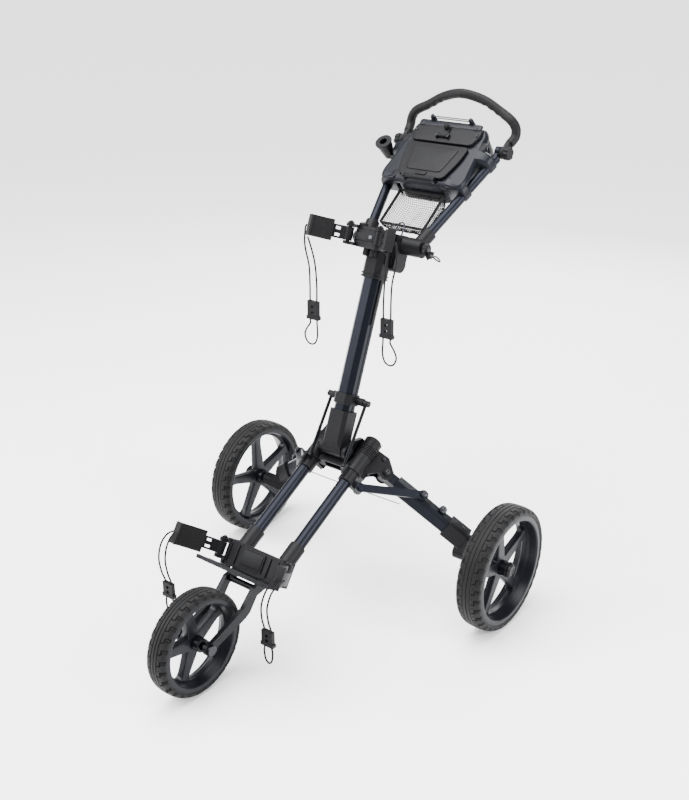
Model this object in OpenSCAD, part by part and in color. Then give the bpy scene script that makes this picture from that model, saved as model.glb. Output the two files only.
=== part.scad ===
// Three-wheel folding push cart for a golf bag.
// Millimetres. +Z is up, the cart rolls towards -Y, +X is the cart's left side.
// The origin is on the ground under the middle of the cart. The modules are drawn with
// the rear axle line at y = 0, and home() moves them to that origin.

/* [Wheels] */
// Rear tyre outside diameter
rear_wheel_d = 285; // [240:1:340]
// Rear tyre width
rear_tyre_w = 59; // [48:1:70]
// Front tyre outside diameter
front_wheel_d = 226; // [190:1:260]
// Front tyre width
front_tyre_w = 50; // [40:1:60]
// Distance between the rear tyre centres
track = 722; // [620:1:860]
// Distance from the rear axle to the front axle
wheelbase = 582; // [520:1:640]
// Wheel axle radius
axle_r = 6; // [5:0.5:8]

/* [Mast and boom] */
// Lean of the mast behind the vertical
mast_tilt = 21; // [12:1:28]
// Distance along the mast from its hinge to the bag cradle
mast_len = 465; // [400:1:560]
// Mast extrusion width
mast_w = 40; // [32:1:48]
// Mast extrusion depth
mast_d = 42; // [34:1:50]
// Slope of the two front tubes below the horizontal
boom_drop = 28.5; // [22:0.5:34]
// Front tube radius
boom_r = 14; // [11:0.5:16]
// Half distance between the front tubes
boom_x = 57; // [50:1:66]

/* [Handle frame] */
// Rise of the handle frame above the horizontal
frame_rise = 37.5; // [30:0.5:45]
// Outward splay of each handle tube
frame_splay = 12; // [6:0.5:16]
// Handle tube radius
frame_r = 11; // [9:0.5:13]
// Grip bar radius
grip_r = 11; // [9:0.5:14]
// Distance from the frame hinge to the grip hinge
grip_at = 292; // [260:1:330]

/* [Bag cradles] */
// Bag radius the upper cradle is curved for
upper_bag_r = 120; // [105:1:130]
// Bag radius the lower cradle is curved for
lower_bag_r = 147; // [130:1:160]
// Lean of the lower cradle behind the vertical
rest_tilt = 34; // [26:1:42]
// Elastic cord radius
cord_r = 2; // [1.5:0.25:3]

/* [Fits] */
// Radial clearance of every turning pin
run_fit = 0.05; // [0.02:0.01:0.1]
// Gap between parts that move past each other
side_gap = 0.5; // [0.4:0.1:1.5]
// Gap between a collar and the tube it slides on
slide_fit = 0.08; // [0.04:0.01:0.1]
// Gap between parts that are fixed together
seat_fit = 0.02; // [0:0.01:0.05]

/* [Output] */
// Which sub-part to draw

/* [Hidden] */
$fn = 48;
rear_r = rear_wheel_d / 2;
front_r = front_wheel_d / 2;
rear_x = track / 2;
// a point on the plane of the front tubes
boom_y = -142;
boom_z = 335;
// mast hinge: distances along and above that plane, then its place
hinge_u = 30;
hinge_w = 26;
hinge_y = boom_y + hinge_u * cos(boom_drop) - hinge_w * sin(boom_drop);
hinge_z = boom_z + hinge_u * sin(boom_drop) + hinge_w * cos(boom_drop);
boom_back = 92;
boom_front = -286;
// hinge of the handle frame, on the back of the mast head
knuckle_dy = 34;
knuckle_dz = mast_len + 3;
knuckle_y = hinge_y + knuckle_dy * cos(mast_tilt) + knuckle_dz * sin(mast_tilt);
knuckle_z = hinge_z - knuckle_dy * sin(mast_tilt) + knuckle_dz * cos(mast_tilt);
knuckle_r = 21;
// rear arm root, arm end, and the axes worked out from them
arm_root = [90, -65, 310];
arm_tip = [rear_x - 100, 0, rear_r + 37];
arm_vec = arm_tip - arm_root;
arm_len = norm(arm_vec);
arm_dir = arm_vec / arm_len;
boom_dir = [0, -cos(boom_drop), -sin(boom_drop)];
pin_raw = cross(boom_dir, arm_dir);
pin_dir = pin_raw / norm(pin_raw);
arm_e = cross(pin_dir, arm_dir);
arm_drop = asin(-arm_dir[2]);
arm_sweep = atan2(arm_dir[1], arm_dir[0]);
pin_lean = atan2(arm_e[2], pin_dir[2]);
beam_h = 34;
beam_d = 31;
strut_lo = 24.4;
strut_t = 6.6;
// strut ends in the plane of the arm: along the arm, across it
strut_out = [94, 8];
strut_in = [-28, -74];
// pins
pin_r = 4;
hinge_pin_r = 5;
// linkage rods: mast end in mast axes, boom end in boom axes
rod_r = 3.8;
rod_eye = 4.3;
rod_x = 47.5;
rod_up = [8.5, 114.7];
rod_low = [-4, 25];
// lower bracket
rest_y = -400;
rest_z = 215;
fork_y = -400;
fork_z = 186;
fork_in = 34;
fork_out = 44;
// console
con_z0 = -30;
con_z1 = 38;
wing_wall = 3;

// ---- places -------------------------------------------------------------
// rearmost point of the grip, then the shift that centres the cart along Y
handle_back = knuckle_y + (grip_at + 85) * cos(frame_rise) - 36 * sin(frame_rise) + grip_r;
home_y = (wheelbase + front_r - handle_back) / 2;
module home() { translate([0, home_y, 0]) children(); }
module side(s) { if (s > 0) children(); else mirror([1, 0, 0]) children(); }
module at_mast() { translate([0, hinge_y, hinge_z]) rotate([-mast_tilt, 0, 0]) children(); }
module at_boom() { translate([0, boom_y, boom_z]) rotate([boom_drop, 0, 0]) children(); }
module at_frame() {
  translate([0, knuckle_y, knuckle_z]) rotate([frame_rise, 0, 0]) children();
}
module at_rest() { translate([0, rest_y, rest_z]) rotate([-rest_tilt, 0, 0]) children(); }
module at_pin() { translate(arm_root) rotate([pin_lean, arm_drop, arm_sweep]) children(); }
module at_beam() { translate(arm_root) rotate([0, arm_drop, arm_sweep]) children(); }
module at_fork() { translate([0, fork_y, fork_z]) children(); }
// along one splayed handle tube
module at_tube() { translate([68, 0, 0]) rotate([0, 0, -frame_splay]) children(); }

// ---- shapes -------------------------------------------------------------
module xcyl(r, x0, x1) { translate([x0, 0, 0]) rotate([0, 90, 0]) cylinder(r = r, h = x1 - x0); }
module ycyl(r, y0, y1) { translate([0, y0, 0]) rotate([-90, 0, 0]) cylinder(r = r, h = y1 - y0); }
module zcyl(r, z0, z1) { translate([0, 0, z0]) cylinder(r = r, h = z1 - z0); }
module box(lo, hi) { translate(lo) cube(hi - lo); }
// box section with cut corners
module cut_box(w, d, c) {
  polygon([[-w / 2 + c, -d / 2], [w / 2 - c, -d / 2], [w / 2, -d / 2 + c],
           [w / 2, d / 2 - c], [w / 2 - c, d / 2], [-w / 2 + c, d / 2],
           [-w / 2, d / 2 - c], [-w / 2, -d / 2 + c]]);
}
// a profile drawn in the Y-Z plane, pushed along X
module yz(x0, x1) {
  translate([x0, 0, 0]) rotate([90, 0, 90]) linear_extrude(x1 - x0) children();
}
// flat curved strip between two radii and two angles
function arc(r, a0, a1, n) = [for (i = [0 : n]) r * [cos(a0 + (a1 - a0) * i / n),
                                                     sin(a0 + (a1 - a0) * i / n)]];
module strip(r0, r1, a0, a1) { polygon(concat(arc(r1, a0, a1, 36), arc(r0, a1, a0, 36))); }
// ---- cords --------------------------------------------------------------
function spline(p0, p1, p2, p3, t) =
  0.5 * (2 * p1 + (p2 - p0) * t + (2 * p0 - 5 * p1 + 4 * p2 - p3) * t * t
         + (3 * p1 - p0 - 3 * p2 + p3) * t * t * t);
function route(p, n) = [for (i = [0 : len(p) - 2]) for (j = [0 : n - 1])
  spline(p[max(i - 1, 0)], p[i], p[i + 1], p[min(i + 2, len(p) - 1)], j / n)];
function full(p, n) = concat(route(p, n), [p[len(p) - 1]]);
function unit(v) = v / norm(v);
function heading(q, i) = unit(q[min(i + 1, len(q) - 1)] - q[max(i - 1, 0)]);
// tube of a given radius along a route, ring sides k, up vector u
module tube_along(p, r, n, k, u) {
  q = full(p, n);
  m = len(q);
  pts = [for (i = [0 : m - 1])
    let (h = heading(q, i), a = unit(cross(u, h)), b = cross(h, a))
      for (j = [0 : k - 1]) q[i] + r * (cos(360 * j / k) * a + sin(360 * j / k) * b)];
  faces = concat([[for (j = [0 : k - 1]) j]],
    [for (i = [0 : m - 2]) for (j = [0 : k - 1])
      [i * k + j, (i + 1) * k + j, (i + 1) * k + (j + 1) % k, i * k + (j + 1) % k]],
    [[for (j = [k - 1 : -1 : 0]) (m - 1) * k + j]]);
  polyhedron(pts, faces);
}
upper_route = [[117, -77, 850], [120.5, -78, 838], [121, -79, 804], [111, -78, 761],
  [109, -78, 722], [109, -78, 682], [109, -78, 640], [109, -78, 630], [120, -78, 614],
  [125, -78, 600], [119, -78, 585], [107, -78, 580], [95, -78, 586], [89, -78, 604],
  [90, -78, 630], [90, -78, 640], [90, -78, 682], [90, -78, 722], [93, -79, 765],
  [99, -83, 800], [105, -88.5, 827]];
lower_route = [[155, -482, 268], [155, -500, 267], [153, -519, 254], [151, -529, 226],
  [150, -525, 192], [149, -517, 165], [149, -517, 130], [151, -517, 114],
  [148, -517, 95], [140, -517, 88], [132, -517, 95], [129, -517, 114], [131, -517, 130],
  [131, -517, 165], [132, -524, 192], [134, -527, 224], [137, -519, 250],
  [140, -504, 266], [142, -489, 272.5]];

// ---- wheels -------------------------------------------------------------
module at_wheel(x, y, r) { translate([x, y, r]) rotate([0, 90, 0]) children(); }
module tyre(r, w, seat) {
  difference() {
    rotate_extrude($fn = 96) polygon([
      [seat + seat_fit, 4.2 - w / 2], [seat + 3.4, 4.0 - w / 2], [seat + 4.8, -w / 2],
      [r - 7, -w / 2], [r - 3, 5.5 - w / 2], [r, w * 0.26 - w / 2], [r, w / 2 - w * 0.26],
      [r - 3, w / 2 - 5.5], [r - 7, w / 2], [seat + 4.8, w / 2], [seat + 3.4, w / 2 - 4.0],
      [seat + seat_fit, w / 2 - 4.2]]);
    for (x = [-w * 0.16, 0, w * 0.16])
      rotate_extrude($fn = 96) translate([r - 2, x - 1.3]) square([4, 2.6]);
  }
}
module rim(r, w, seat, hub_r, hub_w, bore_to) {
  difference() {
    union() {
      rotate_extrude($fn = 96) polygon([
        [seat - 5, 1.5 - w / 2], [seat + 3, 1.5 - w / 2], [seat + 3, 3.9 - w / 2],
        [seat, 4.1 - w / 2], [seat, w / 2 - 4.1], [seat + 3, w / 2 - 3.9],
        [seat + 3, w / 2 - 1.5], [seat - 5, w / 2 - 1.5], [seat - 3.5, w / 2 - 8],
        [seat - 3.5, 8 - w / 2]]);
      zcyl(hub_r, -hub_w / 2, hub_w / 2);
      translate([0, 0, -9]) linear_extrude(11) union() {
        circle(r = hub_r * 1.3);
        for (i = [0 : 4]) rotate([0, 0, 72 * i + 36])
          polygon([[hub_r * 0.6, -14], [seat - 1.6, -9], [seat - 1.6, 9], [hub_r * 0.6, 14]]);
      }
    }
    zcyl(axle_r + run_fit, -hub_w / 2 - 1, bore_to);
  }
}
rear_seat = rear_r - 20.5;
front_seat = front_r - 17;
module rear_tyre(s) {
  color([0.06, 0.06, 0.065]) home() side(s) at_wheel(rear_x, 0, rear_r)
    tyre(rear_r, rear_tyre_w, rear_seat);
}
module rear_rim(s) {
  color([0.12, 0.12, 0.14]) home() side(s) at_wheel(rear_x, 0, rear_r) {
    rim(rear_r, rear_tyre_w, rear_seat, 20, 56, 24);
    zcyl(24, 28 - 0.5, 33);
    zcyl(17, 33, 37);
  }
}
module rear_tyre_l() { rear_tyre(1); }
module rear_tyre_r() { rear_tyre(-1); }
module rear_rim_l() { rear_rim(1); }
module rear_rim_r() { rear_rim(-1); }
module front_tyre() {
  color([0.06, 0.06, 0.065]) home() at_wheel(0, -wheelbase, front_r)
    tyre(front_r, front_tyre_w, front_seat);
}
module front_rim() {
  color([0.12, 0.12, 0.14]) home() at_wheel(0, -wheelbase, front_r)
    rim(front_r, front_tyre_w, front_seat, 18, 60, 31);
}

// ---- chassis ------------------------------------------------------------
module boom_tube(s) {
  color([0.17, 0.18, 0.22]) home() side(s) at_boom() translate([boom_x, 0, 0]) difference() {
    ycyl(boom_r, boom_front, boom_back - 6);
    ycyl(boom_r - 2, boom_front - 1, boom_back - 5);
  }
}
module boom_tube_l() { boom_tube(1); }
module boom_tube_r() { boom_tube(-1); }
module chassis_block() {
  color([0.10, 0.10, 0.12]) home() at_boom() difference() {
    union() {
      // barrels round the two tubes
      for (s = [-1, 1]) translate([s * boom_x, 0, 0]) {
        ycyl(boom_r + 6.5, 0, boom_back);
        ycyl(boom_r + 3, boom_back, boom_back + 3);
      }
      // bridge with a recess, and the two ears of the mast hinge
      box([-40, 4, -17], [40, 56, 7]);
      for (s = [-1, 1]) side(s)
        yz(25 + side_gap, 36) union() {
          translate([hinge_u, hinge_w]) circle(r = 14);
          translate([16, 0]) square([28, 26]);
          polygon([[44, 0], [86, 0], [86, 12], [56, 34], [38, 38], [44, 20]]);
        }
    }
    for (s = [-1, 1]) translate([s * boom_x, 0, 0]) ycyl(boom_r + seat_fit, -1, boom_back - 6);
    translate([0, hinge_u, hinge_w]) xcyl(hinge_pin_r + seat_fit, -60, 60);
    box([-22, -1, -12], [22, 30, 2]);
    for (s = [-1, 1]) side(s) box([20, 57, 2], [24, 90, 60]);
  }
}
module mast_pin() {
  color([0.55, 0.56, 0.58]) home() at_boom() translate([0, hinge_u, hinge_w]) {
    xcyl(hinge_pin_r, -36, 36);
    for (s = [-1, 1]) side(s) xcyl(8, 36 + seat_fit, 40);
  }
}
// bolted plates that carry the rear arm's hinge pin, in the plane of the arm
module gusset(s) {
  color([0.13, 0.13, 0.15]) home() side(s) {
    difference() {
      at_pin() union() {
        for (z = [[11 + side_gap, 15.5], [-15.5, -11 - side_gap]])
          translate([0, 0, z[0]]) linear_extrude(z[1] - z[0]) union() {
            circle(r = 17);
            polygon([[-52, -52], [-16, -14], [12, -12], [12, 12], [-14, 32], [-52, 30]]);
          }
        // web that joins the plates beside the barrel
        box([-46, -48, -15.5], [-30, 28, 15.5]);
        // hinge pin with a head
        zcyl(pin_r + 1, -15.5, 15.5);
        zcyl(9, 15.5, 19.5);
        // clamp screws
        for (p = [[-22, 20], [-30, -34]]) translate([p[0], p[1], 0]) zcyl(4.5, 15.5, 18.5);
      }
      // seats on the barrel
      at_boom() translate([boom_x, 0, 0]) ycyl(boom_r + 6.5 + seat_fit, -60, boom_back + 40);
      at_pin() difference() {
        zcyl(17.5, -11 - side_gap, 11 + side_gap);
        zcyl(pin_r + 1, -12, 12);
      }
    }
  }
}
module gusset_l() { gusset(1); }
module gusset_r() { gusset(-1); }

// sliding collar with a lug for the strut and an ear for the linkage rod
module collar(s) {
  color([0.09, 0.09, 0.10]) home() side(s) difference() {
    union() {
      at_boom() translate([boom_x, 0, 0]) {
        ycyl(boom_r + 4, -28, -side_gap * 2);
        box([-3, -24, 0], [2.7, -side_gap * 2, 31]);
      }
      at_pin() translate([strut_in[0], strut_in[1], 0]) {
        zcyl(11, 8, strut_lo - side_gap);
        box([-20, -9, 10], [0, 9, strut_lo - side_gap]);
      }
    }
    at_boom() {
      translate([boom_x, 0, 0]) ycyl(boom_r + slide_fit, -60, 20);
      box([0, -side_gap * 2, -60], [120, 40, 20]);
    }
  }
}
module collar_l() { collar(1); }
module collar_r() { collar(-1); }

// ---- lower bracket ------------------------------------------------------
module lower_bracket() {
  color([0.10, 0.10, 0.12]) home() difference() {
    union() {
      // sleeves on the two tubes
      at_boom() for (s = [-1, 1]) translate([s * boom_x, 0, 0])
        ycyl(boom_r + 4, boom_front - 5, boom_front + 76);
      // back plate
      at_rest() {
        box([-80, -6, -31], [80, 7, 24]);
        box([-30, -9, -20], [30, -6, 18]);
        // knuckles for the arms, above and below the arm's own
        for (s = [-1, 1]) side(s) for (z = [[-24, -16.5], [12.5, 20]]) {
          translate([89, -7, 0]) zcyl(10, z[0], z[1]);
          box([70, -9, z[0]], [89, 3, z[1]]);
        }
      }
      // cheeks
      for (s = [-1, 1]) side(s) at_rest() box([72, -9, -31], [78.5, 34, 24]);
      // ears of the fork hinge
      for (s = [-1, 1]) side(s) yz(fork_out + side_gap + 0.5, fork_out + 9) union() {
        translate([fork_y, fork_z]) circle(r = 13);
        polygon([[fork_y - 9, fork_z], [fork_y + 12, fork_z - 4], [fork_y + 40, fork_z + 34],
                 [fork_y + 4, fork_z + 34]]);
      }
    }
    at_boom() for (s = [-1, 1]) translate([s * boom_x, 0, 0])
      ycyl(boom_r + seat_fit, boom_front - 0.02, boom_front + 90);
    // room for the fork's cross tube and its legs to turn
    at_fork() xcyl(15, -fork_out - side_gap - 0.5, fork_out + side_gap + 0.5);
    for (s = [-1, 1]) side(s) yz(fork_in - side_gap, fork_out + side_gap)
      polygon([[fork_y + 1, fork_z + 13], [fork_y - 52, fork_z + 4.5],
               [fork_y - 52, fork_z - 20], [fork_y + 1, fork_z - 20]]);
    at_fork() xcyl(hinge_pin_r + seat_fit, -60, 60);
    for (s = [-1, 1]) side(s) at_rest() translate([89, -7, 0]) zcyl(pin_r + seat_fit, -30, 30);
    for (s = [-1, 1]) side(s) at_rest() translate([89, -7, 0]) difference() {
      zcyl(16, -16.5, 12.5);
      translate([-30, -30, -40]) cube([14, 60, 80]);
    }
  }
  // arm pins
  color([0.4, 0.4, 0.42]) home() for (s = [-1, 1]) side(s) at_rest() translate([89, -7, 0]) {
    zcyl(pin_r, -25, 20);
    zcyl(7, 20, 23);
  }
}
module foot_plate() {
  color([0.13, 0.13, 0.15]) home() at_rest() difference() {
    union() {
      box([-98, -66, -35.5], [98, -20, -31 - seat_fit]);
      box([-80, -24, -36.5], [80, 5, -32]);
      box([-98, -66, -31.1], [98, -62.5, -27]);
    }
    for (s = [-1, 1]) side(s) box([fork_in - 4, -34, -50], [fork_out + 12, 20, 0]);
    for (x = [-70, 0, 70]) translate([x, -45, 0]) zcyl(6, -50, 0);
  }
}
module tie_wire() {
  color([0.7, 0.7, 0.72]) home()
    tube_along([[-134, -66, 251], [-60, -66, 250], [0, -66, 250], [60, -66, 250],
                [134, -66, 251]], 1.25, 6, 8, [0, 0, 1]);
}

// ---- mast ---------------------------------------------------------------
module mast_tube() {
  color([0.16, 0.17, 0.21]) home() at_mast() difference() {
    translate([0, 0, 30]) linear_extrude(mast_len - 50) difference() {
      cut_box(mast_w, mast_d, 10);
      cut_box(mast_w - 4, mast_d - 4, 9.2);
      for (s = [-1, 1]) translate([s * mast_w / 2, 0]) square([2, 5], center = true);
    }
    translate([0, rod_up[0], rod_up[1]]) xcyl(pin_r + seat_fit, -40, 40);
  }
}
module mast_socket() {
  color([0.10, 0.10, 0.12]) home() at_mast() difference() {
    union() {
      yz(-25, 25) union() {
        circle(r = 16);
        polygon([[-16, 0], [16, 0], [24, 18], [-24, 18]]);
        translate([-24, 18]) square([48, 70]);
      }
    }
    xcyl(hinge_pin_r + run_fit, -40, 40);
    translate([0, 0, 30 - seat_fit]) linear_extrude(70)
      cut_box(mast_w + 2 * seat_fit, mast_d + 2 * seat_fit, 10);
    for (s = [-1, 1]) for (q = [-1, 1]) translate([s * 25, q * 24, 53])
      rotate([0, 0, 45]) cube([10, 10, 90], center = true);
  }
}
module link_clamp() {
  color([0.10, 0.10, 0.12]) home() at_mast() {
    difference() {
      union() {
        translate([0, 0, 102]) linear_extrude(24) cut_box(mast_w + 8, mast_d + 8, 11);
        translate([0, rod_up[0], rod_up[1]]) xcyl(9, -42, 42);
      }
      translate([0, 0, 90]) linear_extrude(50)
        cut_box(mast_w + 2 * seat_fit, mast_d + 2 * seat_fit, 10);
    }
    for (s = [-1, 1]) side(s) translate([0, rod_up[0], rod_up[1]]) {
      xcyl(pin_r - 0.5, 41, 53);
      xcyl(7, 53 - 0.5, 56);
    }
  }
}
rod_hi = [rod_x, hinge_y + rod_up[0] * cos(mast_tilt) + rod_up[1] * sin(mast_tilt),
          hinge_z - rod_up[0] * sin(mast_tilt) + rod_up[1] * cos(mast_tilt)];
rod_lo = [rod_x, boom_y + rod_low[0] * cos(boom_drop) - rod_low[1] * sin(boom_drop),
          boom_z + rod_low[0] * sin(boom_drop) + rod_low[1] * cos(boom_drop)];
module link_rod(s) {
  d = rod_hi - rod_lo;
  color([0.13, 0.13, 0.15]) home() side(s) difference() {
    union() {
      translate(rod_lo) rotate([-atan2(d[1], d[2]), 0, 0]) cylinder(r = rod_r, h = norm(d));
      translate([0, rod_hi[1], rod_hi[2]]) xcyl(7, rod_x - rod_eye, rod_x + rod_eye);
      translate([0, rod_lo[1], rod_lo[2]]) xcyl(5.5, rod_x - rod_eye, rod_x + rod_eye);
    }
    translate([0, rod_hi[1], rod_hi[2]]) xcyl(pin_r - 0.5 + run_fit, 30, 70);
  }
}
module link_rod_l() { link_rod(1); }
module link_rod_r() { link_rod(-1); }

module top_bracket() {
  color([0.10, 0.10, 0.12]) home() at_mast() difference() {
    union() {
      // sleeve on the mast
      translate([0, 0, mast_len - 82]) linear_extrude(70) cut_box(mast_w + 8, mast_d + 8, 11);
      translate([0, 0, mast_len - 20]) linear_extrude(43)
        cut_box(mast_w + 10, mast_d + 10, 9);
      // front block that carries the bag arms
      box([-30, -66, mast_len - 15], [30, -20, mast_len + 15]);
      for (s = [-1, 1]) side(s) for (z = [[-22.5, -15.5], [15.5, 22.5]]) {
        box([-1, -66, mast_len + z[0]], [30, -30, mast_len + z[1]]);
        translate([38.9, -73.2, mast_len]) zcyl(9.5, z[0], z[1]);
        box([20, -76, mast_len + z[0]], [38.9, -60, mast_len + z[1]]);
      }
      // housing of the frame hinge behind the mast
      yz(-36, 36) union() {
        translate([knuckle_dy, knuckle_dz]) circle(r = knuckle_r);
        translate([knuckle_dy + 3, knuckle_dz - 42]) circle(r = 19);
        polygon([[10, knuckle_dz - 55], [knuckle_dy + 21, knuckle_dz - 45],
                 [knuckle_dy + 20, knuckle_dz], [10, knuckle_dz + 16]]);
      }
    }
    translate([0, 0, 20]) linear_extrude(mast_len - 40 + seat_fit)
      cut_box(mast_w + 2 * seat_fit, mast_d + 2 * seat_fit, 10);
    for (s = [-1, 1]) side(s) translate([38.9, -73.2, mast_len]) {
      zcyl(pin_r + seat_fit, -30, 30);
      difference() {
        zcyl(14, -15.5, 15.5);
        translate([-40, -20, -40]) cube([26, 60, 80]);
      }
    }
  }
  color([0.4, 0.4, 0.42]) home() at_mast() {
    for (s = [-1, 1]) side(s) translate([38.9, -73.2, mast_len]) {
      zcyl(pin_r, -23, 22.5);
      zcyl(7, 22.5, 26);
    }
    translate([0, knuckle_dy, knuckle_dz]) xcyl(hinge_pin_r + 1, -96, 96);
    for (s = [-1, 1]) side(s) translate([0, knuckle_dy, knuckle_dz])
      xcyl(13, 88, 97);
  }
}

// ---- bag arms -----------------------------------------------------------
// One arm in the axes of its cradle: bag centre c behind the origin, radius r,
// from angle a1 at its pin to angle a0 at its tip, pin at the given point.
module arm_shape(c, r, a0, a1, pin, h) {
  difference() {
    translate([0, 0, -h / 2]) linear_extrude(h) union() {
      translate([0, -c]) strip(r + 4, r + 14, a0, a1 - 1);
      translate([pin[0], pin[1]]) circle(r = 9);
    }
    translate([pin[0], pin[1], 0]) zcyl(pin_r + run_fit, -40, 40);
    // lightening slots between the knuckle and the pad
    for (z = [-h / 4, h / 4]) translate([0, -c, z - h / 9]) linear_extrude(h / 4.5)
      strip(r, r + 20, a1 - 14, a1 - 9);
  }
}
module pad_shape(c, r, a0, a1, h) {
  translate([0, -c, -h / 2]) linear_extrude(h) union() {
    strip(r, r + 4 - seat_fit, a0 - 1, a1);
    strip(r - 3, r + 15, a0 - 2.2, a0 - 0.1);
  }
}
upper_a1 = 72;
upper_a0 = 33;
lower_a1 = 52.9;
lower_a0 = 11;
module upper_arm(s) {
  color([0.13, 0.13, 0.15]) home() side(s) at_mast() translate([0, 0, mast_len])
    arm_shape(193, upper_bag_r - 2, upper_a0, upper_a1, [38.9, -73.2], 29);
}
module upper_pad(s) {
  color([0.08, 0.08, 0.085]) home() side(s) at_mast() translate([0, 0, mast_len])
    pad_shape(193, upper_bag_r - 2, upper_a0, upper_a1 - 16, 46);
}
module lower_arm(s) {
  color([0.13, 0.13, 0.15]) home() side(s) at_rest() translate([0, 0, -2])
    arm_shape(124.5, lower_bag_r - 9, lower_a0, lower_a1, [89, -7], 27);
}
module lower_pad(s) {
  color([0.08, 0.08, 0.085]) home() side(s) at_rest() translate([0, 0, -2])
    pad_shape(124.5, lower_bag_r - 9, lower_a0, lower_a1 - 16, 48);
}
module upper_arm_l() { upper_arm(1); }
module upper_arm_r() { upper_arm(-1); }
module upper_pad_l() { upper_pad(1); }
module upper_pad_r() { upper_pad(-1); }
module lower_arm_l() { lower_arm(1); }
module lower_arm_r() { lower_arm(-1); }
module lower_pad_l() { lower_pad(1); }
module lower_pad_r() { lower_pad(-1); }
module upper_cord(s) {
  color([0.05, 0.05, 0.05]) home() side(s) tube_along(upper_route, cord_r, 3, 8, [0, 1, 0.05]);
}
module lower_cord(s) {
  color([0.05, 0.05, 0.05]) home() side(s) tube_along(lower_route, cord_r, 3, 8, [1, 0, 0.05]);
}
module upper_cord_l() { upper_cord(1); }
module upper_cord_r() { upper_cord(-1); }
module lower_cord_l() { lower_cord(1); }
module lower_cord_r() { lower_cord(-1); }
// pull toggle round both strands: p is its top middle, w the strand spacing
module toggle(p, w, h) {
  r = cord_r + 0.3;
  translate(p) difference() {
    union() {
      box([-w / 2 - 5, -4.5, -h], [w / 2 + 5, 4.5, 0]);
      box([-w / 2 - 7, -5.5, -h], [w / 2 + 7, 5.5, -h + 8]);
    }
    for (q = [-1, 1]) translate([q * w / 2, 0, 0]) zcyl(r, -h - 1, 1);
    for (z = [-h * 0.30, -h * 0.62]) translate([0, 0, z]) ycyl(4, -10, 10);
  }
}
module upper_toggle(s) {
  color([0.07, 0.07, 0.075]) home() side(s) translate([99.5, -78, 682]) toggle([0, 0, 0], 19, 42);
}
module lower_toggle(s) {
  color([0.07, 0.07, 0.075]) home() side(s) translate([140, -517, 165]) toggle([0, 0, 0], 18, 35);
}
module upper_toggle_l() { upper_toggle(1); }
module upper_toggle_r() { upper_toggle(-1); }
module lower_toggle_l() { lower_toggle(1); }
module lower_toggle_r() { lower_toggle(-1); }

// ---- rear arms ----------------------------------------------------------
module beam_solid(s0, s1, grow) {
  translate([s0, 0, 0]) rotate([90, 0, 90]) linear_extrude(s1 - s0)
    cut_box(beam_d + 2 * grow, beam_h + 2 * grow, 4);
}
module rear_beam(s) {
  color([0.16, 0.17, 0.21]) home() side(s) difference() {
    union() {
      at_beam() difference() {
        beam_solid(32, arm_len - 4, 0);
        translate([40, 0, 0]) rotate([90, 0, 90]) linear_extrude(arm_len)
          cut_box(beam_d - 5, beam_h - 5, 3);
        // styling groove along the upper front edge
        box([60, -beam_d / 2 - 1, beam_h / 2 - 7.5], [arm_len, -beam_d / 2 + 1, beam_h / 2 - 5.5]);
      }
      // hinge knuckle
      at_pin() {
        zcyl(15, -11, 11);
        box([0, -12, -11], [36, 12, 11]);
        // boss under the strut and its pin
        translate([strut_out[0], strut_out[1], 0]) {
          zcyl(11, 12, strut_lo - side_gap);
          zcyl(pin_r, 12, strut_lo + strut_t + side_gap + 0.2);
          zcyl(8.5, strut_lo + strut_t + side_gap, strut_lo + strut_t + 4);
        }
        // bolt lug for the brake line
        translate([150, 15, 0]) zcyl(9, 4, 21);
      }
    }
    at_pin() zcyl(pin_r + 1 + run_fit, -20, 20);
  }
}
module rear_beam_l() { rear_beam(1); }
module rear_beam_r() { rear_beam(-1); }
module wheel_bracket(s) {
  color([0.09, 0.09, 0.10]) home() side(s) {
    difference() {
      union() {
        at_beam() beam_solid(arm_len - 46, arm_len + 6, 4.5);
        translate([0, 0, rear_r]) xcyl(17, arm_tip[0] - 16, rear_x - rear_tyre_w / 2 - 6);
        box([arm_tip[0] - 14, -14, rear_r], [arm_tip[0] + 22, 14, arm_tip[2] + 6]);
        yz(arm_tip[0] - 14, arm_tip[0] + 22)
          polygon([[-16, rear_r - 4], [16, rear_r - 4], [14, arm_tip[2]], [-14, arm_tip[2]]]);
      }
      at_beam() beam_solid(arm_len - 60, arm_len - 4 + seat_fit, seat_fit);
    }
    // stub axle
    translate([0, 0, rear_r]) {
      xcyl(axle_r, rear_x - rear_tyre_w / 2 - 8, rear_x + 21);
      xcyl(12, rear_x - rear_tyre_w / 2 - 6.5, rear_x - 28 - side_gap);
    }
  }
}
module wheel_bracket_l() { wheel_bracket(1); }
module wheel_bracket_r() { wheel_bracket(-1); }
module strut(s) {
  d = strut_out - strut_in;
  color([0.15, 0.16, 0.19]) home() side(s) at_pin() difference() {
    union() {
      translate([0, 0, strut_lo]) linear_extrude(strut_t) union() {
        translate(strut_in) circle(r = 11);
        translate(strut_out) circle(r = 11.5);
        translate(strut_in) rotate(atan2(d[1], d[0])) translate([0, -9]) square([norm(d), 18]);
      }
      translate([strut_in[0], strut_in[1], strut_lo + 1]) cylinder(r = 7, h = strut_t + 3);
    }
    translate([strut_out[0], strut_out[1], 0]) zcyl(pin_r + run_fit, 0, 60);
  }
}
module strut_l() { strut(1); }
module strut_r() { strut(-1); }

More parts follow.
